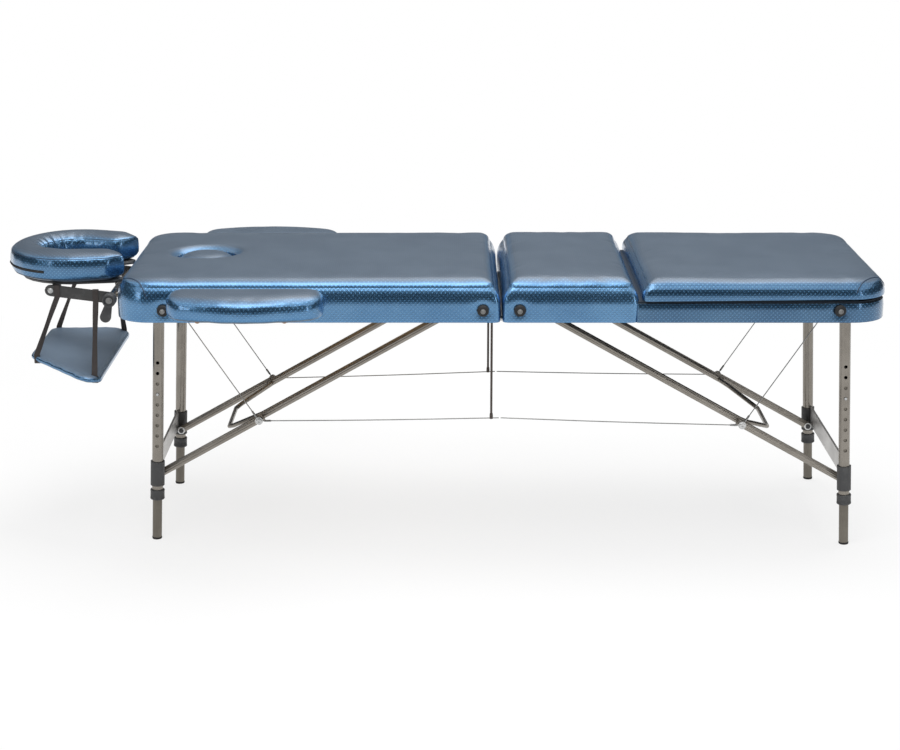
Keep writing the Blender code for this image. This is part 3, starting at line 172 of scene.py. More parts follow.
# paintedSideGain and paintedTopGain darken or lighten a copy of the vinyl: painted shade and painted light
def pearlVinyl(name, paintedSideGain=1.0, paintedTopGain=1.0):
    material, place = newFinish(name)
    x, y, z = place.split()
    nx, ny, nz = place.make("TexCoord", None, None, "Normal").split()
    lying = abs(nz).above(vinylSet["lying"])
    fore = abs(ny).above(abs(nx))
    u = y + (x - y) * lying.most(fore)
    v = z + (y - z) * lying
    pitch = vinylSet["pitch"]

    def lattice(shift):
        across = ((u / pitch + shift).wrap() - 0.5) * pitch
        along = ((v / pitch + shift).wrap() - 0.5) * pitch
        return across * across + along * along

    nearest = lattice(0.0).least(lattice(0.5)).root()
    dot = 1 - nearest.ease(vinylSet["dot"] * 0.35, vinylSet["dot"])
    cloud = place.noise(9.0, 4.0, 0.55).ease(0.3, 0.7)
    grain = place.noise(900.0, 2.0, 0.6)
    # painted shade: faces turned up take the greyer, darker top colours, with less metal and less coat,
    # standing in for the dim room reflected there
    lift = abs(nz).ease(0.50, 0.94)
    # painted shade: faces turned down lose their coat, so the bright floor no longer shows in them
    under = (0 - nz).ease(0.10, 0.60)

    def shade(key, gain):
        return rgb(*(value * gain for value in vinylSet[key]))

    sideColour = cloud.tint(shade("side", paintedSideGain), shade("sideLight", paintedSideGain))
    paintedTopShade = cloud.tint(shade("top", paintedTopGain), shade("topLight", paintedTopGain))
    plain = lift.tint(sideColour, paintedTopShade)
    # painted glints: the dots are tinted lighter, mostly on the sides, where they would catch the light
    colour = (dot * (1 - lift * 0.75) * vinylSet["dotGlintShare"]).tint(plain, vinylSet["dotGlintColour"])
    relief = grain * 0.14 + dot
    normal = relief.bump(0.9, vinylSet["dotDepth"])
    return surface(
        material, place, Base_Color=colour, Metallic=vinylSet["metallic"] - lift * 0.68,
        Roughness=vinylSet["rough"] + lift * 0.18 + grain * 0.06,
        Coat_Weight=(vinylSet["coat"] - lift * 0.75) * (1 - under), Coat_Roughness=vinylSet["coatRough"],
        Normal=normal)


def brushedTube(name, dark, light, rough, run=(1.0, 1.0, 0.035)):    # run is short along the streaks
    material, place = newFinish(name)
    streak = place.stretched(run).noise(420.0, 3.0, 0.6)
    smudge = place.noise(14.0, 4.0, 0.6).ease(0.35, 0.75)
    colour = (streak * 0.6 + smudge * 0.4).tint(dark, light)
    return surface(
        material, place, Base_Color=colour, Metallic=0.92,
        Roughness=rough + streak * 0.12 - smudge * 0.06, Normal=streak.bump(0.04, 0.0002))


def grainedPlastic(name, dark, light, rough, scale=1400.0):
    material, place = newFinish(name)
    grain = place.noise(scale, 2.0, 0.55)
    scuff = place.noise(38.0, 5.0, 0.65).ease(0.52, 0.78)
    colour = (scuff * 0.7).tint(dark, light)
    return surface(
        material, place, Base_Color=colour, Roughness=rough + grain * 0.14 - scuff * 0.08,
        Normal=grain.bump(0.35, 0.0004))


def zincSteel(name):
    material, place = newFinish(name)
    spangle = place.make("TexVoronoi", None, {"Vector": place, "Scale": 700.0}, "Distance")
    haze = place.noise(60.0, 3.0, 0.6)
    colour = haze.ease(0.3, 0.7).tint(rgb(0.55, 0.56, 0.56), rgb(0.74, 0.74, 0.73))
    return surface(
        material, place, Base_Color=colour, Metallic=0.95, Roughness=0.22 + spangle * 0.18 + haze * 0.08,
        Normal=haze.bump(0.08, 0.0002))


def turnedWood(name, dark, light):
    material, place = newFinish(name)
    fibre = place.stretched((1.0, 0.08, 1.0)).noise(260.0, 5.0, 0.6)
    ring = place.make(
        "TexWave", {"wave_type": "RINGS"}, {"Scale": 38.0, "Distortion": 5.0, "Detail": 3.0}, "Fac")
    colour = (fibre * 0.6 + ring * 0.4).ease(0.25, 0.75).tint(dark, light)
    return surface(
        material, place, Base_Color=colour, Roughness=0.42 + fibre * 0.2, Coat_Weight=0.15,
        Normal=fibre.bump(0.25, 0.0004))


def plywood(name):
    material, place = newFinish(name)
    grain = place.stretched((0.05, 1.0, 1.0)).noise(120.0, 6.0, 0.65)
    ply = (place.split()[2] * 620.0).wrap().above(0.5)
    face = grain.ease(0.3, 0.7).tint(rgb(0.42, 0.28, 0.15), rgb(0.60, 0.44, 0.26))
    colour = (ply * 0.3).tint(face, rgb(0.26, 0.16, 0.09))
    return surface(
        material, place, Base_Color=colour, Roughness=0.62 + grain * 0.2, Normal=grain.bump(0.3, 0.0005))


def wovenBand(name, dark, light, pitch):
    material, place = newFinish(name)
    x, y, z = place.split()
    rib = x / pitch
    across = rib.wrap() - 0.5
    picks = ((y + z) / pitch + rib.floor() * 0.5).wrap() - 0.5
    weave = (1 - across * across * 4) * 0.6 + (1 - abs(picks) * 2) * 0.4
    fuzz = place.noise(1600.0, 2.0, 0.6)
    colour = (weave * 0.7 + fuzz * 0.3).tint(dark, light)
    return surface(
        material, place, Base_Color=colour, Roughness=0.78 + fuzz * 0.15,
        Normal=(weave + fuzz * 0.3).bump(0.6, 0.0006))


finish = {
    "vinyl": pearlVinyl("pearlVinyl"),
    # copies darkened as painted shade for the back pad, foot cover and cradle cushion; the shelf's copy has
    # painted shade on its sides and painted light on its top
    "backVinylPaintedShade": pearlVinyl("pearlVinylBackPaintedShade", 0.80),
    "coverVinylPaintedShade": pearlVinyl("pearlVinylCoverPaintedShade", 0.62),
    "cradleVinylPaintedShade": pearlVinyl("pearlVinylCradlePaintedShade", 0.80, 0.86),
    "shelfVinylPaintedLightAndShade": pearlVinyl("pearlVinylShelfPaintedLightAndShade", 0.80, 2.1),
    "seam": grainedPlastic("seamThread", rgb(0.020, 0.045, 0.090), rgb(0.050, 0.090, 0.150), 0.5, 2200.0),
    "tube": brushedTube("bronzeTube", rgb(0.225, 0.205, 0.180), rgb(0.335, 0.310, 0.275), 0.23),
    "lowTube": brushedTube("bronzeLowTube", rgb(0.150, 0.136, 0.115), rgb(0.225, 0.206, 0.176), 0.32),
    # the braces take a lighter copy of the bronze: painted light against the dark room they reflect
    "brace": brushedTube(
        "bronzeBraceLit", rgb(0.270, 0.246, 0.216), rgb(0.400, 0.372, 0.332), 0.34, (0.035, 1.0, 0.07)),
    "rail": brushedTube(
        "railAlloy", rgb(0.160, 0.155, 0.150), rgb(0.250, 0.245, 0.235), 0.42, (0.035, 1.0, 1.0)),
    "sheet": brushedTube("plateAlloy", rgb(0.46, 0.45, 0.44), rgb(0.60, 0.59, 0.57), 0.36),
    "steel": zincSteel("zincSteel"),
    "wire": brushedTube("wireRope", rgb(0.20, 0.20, 0.20), rgb(0.44, 0.44, 0.43), 0.32),
    "lining": grainedPlastic("darkLining", rgb(0.022, 0.033, 0.050), rgb(0.040, 0.056, 0.078), 0.75, 700.0),
    "plastic": grainedPlastic("collarPlastic", rgb(0.070, 0.071, 0.073), rgb(0.110, 0.110, 0.112), 0.48),
    "rubber": grainedPlastic("footRubber", rgb(0.020, 0.020, 0.021), rgb(0.050, 0.049, 0.047), 0.70, 900.0),
    "arm": grainedPlastic("armCoat", rgb(0.055, 0.055, 0.055), rgb(0.100, 0.100, 0.098), 0.44, 1800.0),
    "wood": turnedWood("orangeWood", rgb(0.480, 0.220, 0.095), rgb(0.680, 0.365, 0.180)),
    "board": plywood("deckPly"),
    "webbing": wovenBand("slingWebbing", rgb(0.030, 0.026, 0.025), rgb(0.085, 0.072, 0.068), 0.0017),
    "elastic": wovenBand("elasticCord", rgb(0.060, 0.048, 0.042), rgb(0.150, 0.125, 0.110), 0.0012),
}
print("finishes ready:", len(finish))


# modelling helpers

def newPiece(name, bm, sharp=35):
    bmesh.ops.recalc_face_normals(bm, faces=bm.faces[:])
    mesh = bpy.data.meshes.new(name)
    bm.to_mesh(mesh)
    bm.free()
    piece = bpy.data.objects.new(name, mesh)
    scene.collection.objects.link(piece)
    mesh.shade_smooth()
    mesh.set_sharp_from_angle(angle=math.radians(sharp))
    return piece


def dress(piece, body, look, slotName, *nodes):
    piece.data.materials.clear()
    piece.data.materials.append(finish[look])
    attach(piece, body)
    if nodes:
        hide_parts(*nodes)
    return piece


def fit(name, bm, body, look, slotName, *nodes, sharp=35):
    return dress(newPiece(name, bm, sharp), body, look, slotName, *nodes)


def spots(piece):
    return [vert.co for vert in piece.data.vertices]


def modify(piece, kind, **settings):    # a modifier, taken straight into the mesh
    modifier = piece.modifiers.new(kind.lower(), kind)
    for name, value in settings.items():
        setattr(modifier, name, value)
    bpy.context.view_layer.update()
    shaped = piece.evaluated_get(bpy.context.evaluated_depsgraph_get())
    mesh = bpy.data.meshes.new_from_object(shaped)
    piece.modifiers.clear()
    piece.data = mesh


def join(bm, part):
    spare = bpy.data.meshes.new("spare")
    part.to_mesh(spare)
    part.free()
    bm.from_mesh(spare)
    bpy.data.meshes.remove(spare)
    return bm


def vertsOf(items):
    return [item for item in items if isinstance(item, bmesh.types.BMVert)]


def wrapHull(bm):    # keeps only the hull of the points
    bmesh.ops.delete(bm, geom=bm.edges[:] + bm.faces[:], context="EDGES_FACES")
    made = bmesh.ops.convex_hull(bm, input=bm.verts[:], use_existing_faces=False)
    bmesh.ops.delete(bm, geom=vertsOf(set(made["geom_interior"]) | set(made["geom_unused"])), context="VERTS")


def roundEdges(bm, edges, radius, segments):
    bmesh.ops.bevel(
        bm, geom=edges, offset=radius, offset_type="OFFSET", segments=segments, profile=0.5, affect="EDGES",
        material=-1)


def clamp(value, low=0.0, high=1.0):
    return min(max(value, low), high)


def mirrored(points):    # the same route on the other side, run backwards
    return [Vector((point.x, -point.y, point.z)) for point in reversed(points)]


def facing(place, direction):
    return Matrix.Translation(place) @ Vector(direction).to_track_quat("Z", "Y").to_matrix().to_4x4()


def moved(bm, matrix):
    bmesh.ops.transform(bm, matrix=matrix, verts=bm.verts[:])
    return bm


def lathe(profile, place, direction, steps=28):    # profile is (radius, height) pairs along the direction
    bm = bmesh.new()
    verts = [bm.verts.new((radius, 0, height)) for radius, height in profile]
    edges = [bm.edges.new(pair) for pair in zip(verts, verts[1:])]
    bmesh.ops.spin(
        bm, geom=verts + edges, axis=(0, 0, 1), cent=(0, 0, 0), angle=2 * math.pi, steps=steps,
        use_merge=True)
    bmesh.ops.remove_doubles(bm, verts=bm.verts[:], dist=1e-6)
    bmesh.ops.recalc_face_normals(bm, faces=bm.faces[:])
    return moved(bm, facing(place, direction))


def block(low, high, radius=0.0):
    bm = bmesh.new()
    size = Vector(high) - Vector(low)
    middle = (Vector(high) + Vector(low)) / 2
    bmesh.ops.create_cube(bm, size=1.0, matrix=Matrix.Translation(middle) @ Matrix.Diagonal((*size, 1)))
    if radius > 0:
        roundEdges(bm, bm.edges[:], radius, 3)
    return bm


def ribbedBar(start, end, radius, ribs, depth):    # an extruded bar with grooves along it
    bm = bmesh.new()
    perRib = 6
    made = bmesh.ops.create_circle(bm, cap_ends=False, segments=ribs * perRib, radius=radius)
    for index, vert in enumerate(made["verts"]):
        if index % perRib in (0, 1):
            vert.co *= 1 - depth / radius
    run = bmesh.ops.extrude_edge_only(bm, edges=bm.edges[:])
    bmesh.ops.translate(bm, vec=(0, 0, (end - start).length), verts=vertsOf(run["geom"]))
    bmesh.ops.holes_fill(bm, edges=bm.edges[:], sides=0)
    return moved(bm, facing(start, end - start))


def smoothCurve(points, rounds=2):    # cuts the corners of a route
    for _ in range(rounds):
        cut = [points[0]]
        for a, b in zip(points, points[1:]):
            cut += [a.lerp(b, 0.25), a.lerp(b, 0.75)]
        points = cut + [points[-1]]
    return points


def tubeMesh(points, radius, sides=10, closed=False):
    curve = bpy.data.curves.new("route", "CURVE")
    curve.dimensions = "3D"
    curve.bevel_depth = radius
    curve.bevel_resolution = max(1, sides // 4 - 1)
    curve.use_fill_caps = True
    spline = curve.splines.new("POLY")
    spline.points.add(len(points) - 1)
    spline.use_cyclic_u = closed
    for spot, point in zip(spline.points, points):
        spot.co = (*point, 1.0)
    holder = bpy.data.objects.new("route", curve)
    scene.collection.objects.link(holder)
    bpy.context.view_layer.update()
    mesh = bpy.data.meshes.new_from_object(holder.evaluated_get(bpy.context.evaluated_depsgraph_get()))
    bpy.data.objects.remove(holder)
    bpy.data.curves.remove(curve)
    bm = bmesh.new()
    bm.from_mesh(mesh)
    bpy.data.meshes.remove(mesh)
    return bm


def bandMesh(points, crosses, width, thick):    # crosses are the band's directions of width
    bm = bmesh.new()
    edge = bm.edges.new([bm.verts.new(points[0] + crosses[0] * width * share) for share in (-0.5, 0.5)])
    for point, cross in zip(points[1:], crosses[1:]):
        run = bmesh.ops.extrude_edge_only(bm, edges=[edge])
        ends = sorted(vertsOf(run["geom"]), key=lambda vert: vert.co.dot(cross))
        for vert, share in zip(ends, (-0.5, 0.5)):
            vert.co = point + cross * width * share
        edge = bm.edges.get(ends)
    bmesh.ops.recalc_face_normals(bm, faces=bm.faces[:])
    bmesh.ops.solidify(bm, geom=bm.faces[:], thickness=thick)
    return bm


# upholstery

hemBand = 0.0105    # a skin this near its lowest or highest level moves with its hem


def softCopy(node, hull, below, above):    # below and above: room to trim to a clean hem
    bm = bmesh.new()
    bm.from_mesh(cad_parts[node].data)
    bmesh.ops.remove_doubles(bm, verts=bm.verts[:], dist=1e-5)
    if hull:    # the outer form only; hollows are cut again later
        wrapHull(bm)
    lowest = min(vert.co.z for vert in bm.verts)
    highest = max(vert.co.z for vert in bm.verts)
    for vert in bm.verts:
        if vert.co.z < lowest + hemBand:
            vert.co.z -= below
        elif vert.co.z > highest - hemBand:
            vert.co.z += above
    return newPiece(node + "_vinyl", bm)


def relax(piece, rounds, shrink=0.0):
    bm = bmesh.new()
    bm.from_mesh(piece.data)
    for _ in range(rounds):
        bmesh.ops.smooth_vert(
            bm, verts=bm.verts[:], factor=0.5, use_axis_x=True, use_axis_y=True, use_axis_z=True)
    bm.normal_update()
    for vert in bm.verts:
        vert.co -= vert.normal * shrink
    bm.to_mesh(piece.data)
    bm.free()


puffFrames = 20


def inflate(piece, pressure, cap):    # cloth blown up from inside; no point moves farther than cap
    rest = [vert.co.copy() for vert in piece.data.vertices]
    puff = piece.modifiers.new("puff", "CLOTH")
    puff.settings.use_pressure = True
    puff.settings.uniform_pressure_force = pressure
    puff.settings.effector_weights.gravity = 0
    puff.settings.quality = 4
    puff.collision_settings.use_collision = False
    for step in range(puffFrames):
        scene.frame_set(step + 1)
    shaped = piece.evaluated_get(bpy.context.evaluated_depsgraph_get())
    blown = [vert.co.copy() for vert in shaped.data.vertices]
    piece.modifiers.clear()
    scene.frame_set(1)
    for vert, start, spot in zip(piece.data.vertices, rest, blown):
        move = spot - start
        vert.co = start + move * min(1.0, cap / max(move.length, 1e-9))


def puffed(node, settings, hull=False, below=0.0, above=0.0):
    piece = softCopy(node, hull, below, above)
    modify(piece, "REMESH", mode="VOXEL", voxel_size=settings["voxel"])
    relax(piece, settings["relax"], settings["shrink"])
    inflate(piece, settings["pressure"], settings["cap"])
    if settings["settle"]:
        relax(piece, settings["settle"])
    modify(piece, "SUBSURF", levels=1, render_levels=1)
    return piece


def fitBox(piece, low, high):    # smoothing draws a skin in; this brings it back to its size
    places = spots(piece)
    for axis in range(3):
        least = min(co[axis] for co in places)
        scale = (high[axis] - low[axis]) / (max(co[axis] for co in places) - least)
        for co in places:
            co[axis] = low[axis] + (co[axis] - least) * scale


def carve(piece, *cutters):
    for index, bm in enumerate(cutters):
        cutter = newPiece(piece.name + "Cutter" + str(index), bm)
        cutter.hide_render = True
        modify(piece, "BOOLEAN", operation="DIFFERENCE", solver="MANIFOLD", object=cutter)
        bpy.data.objects.remove(cutter)


def roundedBlock(low, high, lowRadius, highRadius):    # upright edges rounded at the two ends
    bm = block(low, high)
    for x, radius in ((low[0], lowRadius), (high[0], highRadius)):
        upright = [
            edge for edge in bm.edges
            if abs(edge.verts[0].co.z - edge.verts[1].co.z) > 1e-4
            and abs(edge.verts[0].co.x - x) < 1e-5 and abs(edge.verts[1].co.x - x) < 1e-5]
        roundEdges(bm, upright, radius, 8)
    return bm


def cover(piece, body, look, node, sharp=60):
    piece.data.shade_smooth()
    piece.data.set_sharp_from_angle(angle=math.radians(sharp))
    dress(piece, body, look, "vinyl", node)


padSkin = {"voxel": 0.0085, "relax": 2, "shrink": 0.0020, "pressure": 4.0, "cap": 0.0050, "settle": 0}
coverSkin = {"voxel": 0.0085, "relax": 1, "shrink": 0.0012, "pressure": 3.0, "cap": 0.0025, "settle": 0}
hem, backHem, coverTop, padTop = 0.5772, 0.6300, 0.6232, 0.6890
seatEndX = 0.335
padSet = {
    "head_pad": {
        "body": "head_half", "look": "vinyl", "skin": padSkin, "below": 0.020, "above": 0.0, "fill": 0.95,
        "low": at(-0.9265, -0.3014, hem), "high": at(-0.0012, 0.3014, padTop),
        "lean": (0.617, 0.660, 5.0, ((-0.925, 1, 5.0), (-0.001, -1, 8.0)))},
    "seat_pad": {
        "body": "foot_half", "look": "vinyl", "skin": padSkin, "below": 0.020, "above": 0.0, "fill": 0.95,
        "low": at(0.0012, -0.3014, hem), "high": at(0.3300, 0.3014, padTop),
        "lean": (0.617, 0.660, 5.0, ((0.001, 1, 8.0), (0.330, -1, 8.0)))},
    "foot_cover": {
        "body": "foot_half", "look": "coverVinylPaintedShade", "skin": coverSkin, "below": 0.020, "above": 0.020,
        "fill": 0.9, "low": at(0.3200, -0.3010, hem), "high": at(0.9262, 0.2992, coverTop),
        "lean": (0.605, 0.624, 7.0, ((0.925, -1, 7.0),))},
    "back_pad": {
        "body": "backrest", "look": "backVinylPaintedShade", "skin": padSkin, "below": 0.020, "above": 0.0, "fill": 0.95,
        "low": at(0.3352, -0.3014, backHem), "high": at(0.9265, 0.3014, padTop),
        "lean": (0.640, 0.664, 7.0, ((0.925, -1, 7.0), (seatEndX, 1, 12.0)))},
}
bumperSpots = [(-0.806, 0.607), (-0.044, 0.607), (0.044, 0.607), (0.806, 0.607)]
dimpleSet = {"face": -0.285, "depth": 0.0034, "radius": 0.021}
leanSet = {"sideY": 0.20, "reach": 0.10}
holeSet = {"x": -0.735, "halfLength": 0.077, "halfWidth": 0.066, "lip": 0.023, "dip": 0.0165, "lowest": 0.64}


def dimple(piece):    # the vinyl is drawn in round each bumper
    for co in spots(piece):
        if co.y < dimpleSet["face"]:
            for x, z in bumperSpots:
                reach = math.hypot(co.x - foldX - x, co.z - z)
                co.y += dimpleSet["depth"] * math.exp(-(reach / dimpleSet["radius"]) ** 2)


def lean(piece, start, stop, sideBend, ends):    # sides lie back above the rail; ends are (x, inward, bend)
    for co in spots(piece):
        rise = clamp(co.z - start, 0.0, stop - start)
        share = clamp((abs(co.y) - leanSet["sideY"]) / leanSet["reach"])
        co.y -= math.copysign(sideBend * (rise * share) ** 2, co.y)
        for endX, inward, bend in ends:
            share = 1 - min(abs(co.x - foldX - endX) / leanSet["reach"], 1.0)
            co.x += inward * bend * (rise * share) ** 2


def sinkHole(piece):    # the top rolls down into the breathing hole
    for co in spots(piece):
        if co.z > holeSet["lowest"]:
            across = (co.x - foldX - holeSet["x"]) / holeSet["halfLength"]
            along = co.y / holeSet["halfWidth"]
            reach = (math.hypot(across, along) - 1) * holeSet["halfWidth"] / holeSet["lip"]
            if reach < 1:
                share = 1 - max(reach, 0.0)
                co.z -= holeSet["dip"] * share * share


def ellipsePost(bottom, top):
    bm = bmesh.new()
    bmesh.ops.create_cone(bm, cap_ends=True, segments=72, radius1=1, radius2=1, depth=top - bottom)
    bmesh.ops.scale(bm, vec=(holeSet["halfLength"], holeSet["halfWidth"], 1), verts=bm.verts[:])
    bmesh.ops.translate(bm, vec=at(holeSet["x"], 0, (top + bottom) / 2), verts=bm.verts[:])
    return bm


def upholster(node):
    settings = padSet[node]
    below, above = settings["below"], settings["above"]
    piece = puffed(node, settings["skin"], True, below, above)
    fitBox(piece, settings["low"] - Vector((0, 0, below)), settings["high"] + Vector((0, 0, above)))
    lean(piece, *settings["lean"])
    if settings["body"] != "backrest":
        dimple(piece)
    return piece


def trim(z, upward=False, rise=0.0):    # all below z, or above it; rise turns the cut about the seat's end
    low, high = (0.0, 0.2) if upward else (-0.2, 0.0)
    bm = block((-2.0, -1.0, low), (2.0, 1.0, high))
    return moved(bm, Matrix.Translation(at(seatEndX, 0, z)) @ Matrix.Rotation(-rise, 4, "Y"))


hollowSet = {
    "end": 0.9190, "fold": 0.0050, "side": 0.2940, "below": 0.5500, "deck": 0.6287, "backX": 0.3410,
    "backDeck": 0.6466, "endRound": 0.084, "foldRound": 0.007, "backRound": 0.008}


def hollow(lowX, highX, bottom, top, lowRound, highRound):    # the room for frame and deck
    side = hollowSet["side"]
    return roundedBlock(at(lowX, -side, bottom), at(highX, side, top), lowRound, highRound)


fold, farEnd, bottom, deck = (hollowSet[key] for key in ("fold", "end", "below", "deck"))
foldRound, endRound = hollowSet["foldRound"], hollowSet["endRound"]
headPad = upholster("head_pad")
sinkHole(headPad)
carve(headPad, hollow(-farEnd, -fold, bottom, deck, endRound, foldRound), ellipsePost(0.60, 0.72), trim(hem))
seatPad = upholster("seat_pad")
carve(seatPad, hollow(fold, farEnd, bottom, deck, foldRound, endRound), trim(hem))
footCover = upholster("foot_cover")
carve(footCover, hollow(fold, farEnd, bottom, 0.6600, foldRound, endRound), trim(hem), trim(coverTop, True))
backPad = upholster("back_pad")
carve(
    backPad,
    hollow(hollowSet["backX"], farEnd, 0.6000, hollowSet["backDeck"], hollowSet["backRound"], endRound),
    trim(0.6290, False, math.radians(0.55)))
for piece, node in zip((headPad, seatPad, footCover, backPad), padSet):
    cover(piece, padSet[node]["body"], padSet[node]["look"], node, 50)
print("table pads made")

plugSet = {
    "voxel": 0.0060, "relax": 2, "shrink": 0.0012, "pressure": 5.0, "cap": 0.0040, "settle": 0,
    "lowest": 0.640, "sunk": -0.0020, "rim": 0.0200, "slim": 0.0030}
plug = puffed("face_plug", plugSet)
plugLow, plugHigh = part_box("face_plug")
fitBox(plug, plugLow, plugHigh)
for co in spots(plug):    # the plug sits a little below the top and rolls off at its rim
    share = max(0.0, (co.z - plugSet["lowest"]) / (plugHigh.z - plugSet["lowest"]))
    across = (co.x - foldX - holeSet["x"]) / holeSet["halfLength"]
    reach = math.hypot(across, co.y / holeSet["halfWidth"])
    co.z -= share * (plugSet["sunk"] + plugSet["rim"] * reach ** 4)
    co.x -= share * plugSet["slim"] * across
    co.y -= share * plugSet["slim"] * co.y / holeSet["halfWidth"]
cover(plug, "face_plug", "vinyl", "face_plug")

cushionSet = {
    "voxel": 0.0062, "relax": 5, "shrink": 0.0020, "pressure": 5.0, "cap": 0.0060, "settle": 2,
    "spreadLow": (0.004, 0.004, 0.0085), "spreadHigh": (0.010, 0.004, 0.004), "limb": 0.045, "limbY": 0.120,
    "bendX": -1.057, "inner": 0.075, "pleats": 25, "pleatDepth": 0.0044, "pleatOut": 0.006,
    "pleatWidth": 0.020, "pleatTurn": 0.62, "pleatDrift": 1.4, "pleatIn": 0.8, "pleatLow": 0.672,
    "pleatRise": 0.02}
cushion = puffed("cradle_cushion", cushionSet)
cushionLow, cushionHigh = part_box("cradle_cushion")
cushionHigh = cushionHigh + Vector(cushionSet["spreadHigh"])
fitBox(cushion, cushionLow - Vector(cushionSet["spreadLow"]), cushionHigh)
pleatDepth = cushionSet["pleatDepth"]
for co in spots(cushion):    # the skin gathers in pleats round the inner bend
    dx = co.x - foldX - cushionSet["bendX"]
    reach = math.hypot(dx, co.y)
    turn = math.atan2(co.y, -dx)
    away = (reach - cushionSet["inner"] - cushionSet["pleatOut"]) / cushionSet["pleatWidth"]
    near = math.exp(-away ** 2) * max(0.0, math.cos(turn * cushionSet["pleatTurn"])) ** 2
    drift = cushionSet["pleatDrift"] * math.sin(turn * 3)
    pleat = 0.5 + 0.5 * math.cos(turn * cushionSet["pleats"] + drift)
    high = clamp((co.z - cushionSet["pleatLow"]) / cushionSet["pleatRise"])
    co.z -= pleatDepth * pleat * near * high
    co.x -= pleatDepth * cushionSet["pleatIn"] * pleat * near * high * math.copysign(1, -dx)
for co in spots(cushion):    # each limb ends in a round tip
    reach = clamp((co.x - cushionHigh.x + cushionSet["limb"]) / cushionSet["limb"], 0.0, 0.95)
    centre = math.copysign(cushionSet["limbY"], co.y)
    co.y = centre + (co.y - centre) * math.sqrt(1 - reach * reach)
cover(cushion, "cradle_platform", "cradleVinylPaintedShade", "cradle_cushion")

armrestSet = {
    "voxel": 0.0065, "relax": 2, "shrink": 0.0016, "pressure": 5.0, "cap": 0.0025, "settle": 3,
    "below": 0.0165, "above": 0.002, "bow": 0.0155, "inner": 0.3035, "width": 0.1265, "edge": 0.622,
    "edgeRise": 0.036, "edgeBend": 2.2}
for flank in ("near", "far"):    # the vinyl wraps the board as well
    node = flank + "_armrest_pad"
    armrest = puffed(node, armrestSet, False, armrestSet["below"])
    armLow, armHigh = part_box(node)
    fitBox(
        armrest, armLow - Vector((0, 0, armrestSet["below"])), armHigh + Vector((0, 0, armrestSet["above"])))
    middle = (armLow.x + armHigh.x) / 2
    half = (armHigh.x - armLow.x) / 2
    for co in spots(armrest):
        out = (abs(co.y) - armrestSet["inner"]) / armrestSet["width"]
        across = (co.x - middle) / half
        rise = clamp(co.z - armrestSet["edge"], 0.0, armrestSet["edgeRise"])
        shift = armrestSet["bow"] * out * (1 - across * across) - armrestSet["edgeBend"] * rise * rise * out
        co.y += math.copysign(shift, co.y)
    cover(armrest, flank + "_armrest", "vinyl", node)

shelfSet = {
    "voxel": 0.0055, "relax": 7, "shrink": 0.0010, "pressure": 3.0, "cap": 0.0012, "settle": 3,
    "thick": 0.018, "middleX": -1.070, "middleZ": 0.440}
strapSet = {
    "places": ((-0.992, -0.990, 0.2250), (-1.086, -1.146, 0.1440)), "width": 0.0140, "slotGap": 0.0024,
    "slotWidth": 0.0180, "thick": 0.0014, "twist": math.radians(50), "steps": 12, "corner": 0.003,
    "overGap": 0.0028, "insideGap": 0.0025, "sideGap": 0.0020, "end": 0.016}
shelf = puffed("arm_shelf", shelfSet, True)
fitBox(shelf, *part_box("arm_shelf"))
slotHalf = strapSet["slotWidth"] / 2
slots = []
for topX, x, slotY in strapSet["places"]:
    for flank in (-1, 1):
        slots.append(block(
            at(x - slotHalf, flank * slotY - strapSet["slotGap"], 0.38),
            at(x + slotHalf, flank * slotY + strapSet["slotGap"], 0.50)))
carve(shelf, *slots)
cover(shelf, "arm_shelf", "shelfVinylPaintedLightAndShade", "arm_shelf")
print("cushions made")


# sewn seams

def sectionRoute(piece, point, normal, keep):    # the line where a plane meets a piece's skin
    bm = bmesh.new()
    bm.from_mesh(piece.data)
    made = bmesh.ops.bisect_plane(
        bm, geom=bm.verts[:] + bm.edges[:] + bm.faces[:], plane_co=point, plane_no=normal, dist=1e-6)
    links = {}
    for edge in made["geom_cut"]:
        if not isinstance(edge, bmesh.types.BMEdge):
            continue
        a, b = edge.verts
        if keep(a.co) and keep(b.co):
            links.setdefault(a, []).append(b)
            links.setdefault(b, []).append(a)
    ends = [vert for vert in links if len(links[vert]) == 1]
    runs = []
    seen = set()
    for end in sorted(ends or links, key=lambda vert: tuple(round(value, 5) for value in vert.co)):
        if end in seen:
            continue
        run = [end]
        seen.add(end)
        while True:
            ahead = [vert for vert in links[run[-1]] if vert not in seen]
            if not ahead:
                break
            run.append(ahead[0])
            seen.add(ahead[0])
        runs.append([vert.co.copy() for vert in run])
    bm.free()
    return max(runs, key=len) if runs else []


cornerSet = {"endX": 0.925, "offset": 0.082, "sideY": 0.300, "welt": 0.0014}
for piece, body, side, lowest in ((headPad, "head_half", -1, 0.632), (backPad, "backrest", 1, 0.648)):
    for flank, flankName in flanks:
        cut = at(side * (cornerSet["endX"] - cornerSet["offset"]), flank * cornerSet["sideY"], 0)
        normal = Vector((side, flank, 0)).normalized()
        route = sectionRoute(piece, cut, normal, lambda co: co.z > lowest)
        welt = tubeMesh(route, cornerSet["welt"], 8)
        fit(body + "_" + flankName + "_corner_seam", welt, body, "seam", "vinyl")

loopSet = (
    ("cushion_upper_seam", cushion, "cradle_platform", 0.7010, 0.0010),
    ("cushion_lower_seam", cushion, "cradle_platform", 0.6500, 0.0010),
    ("plug_seam", plug, "face_plug", 0.6690, 0.0012))
for name, piece, body, level, radius in loopSet:
    loop = sectionRoute(piece, at(0, 0, level), (0, 0, 1), lambda co: True)
    fit(name, tubeMesh(loop[::2], radius, 8, True), body, "seam", "vinyl")

zipSet = {
    "level": 0.6690, "width": 0.0068, "thick": 0.0012, "coil": 0.0013, "endX": -1.104, "lowY": -0.158,
    "highY": 0.006, "inner": 0.12, "tapeOut": 0.0006, "coilOut": 0.0004}
centre = at(cushionSet["bendX"], 0, zipSet["level"])


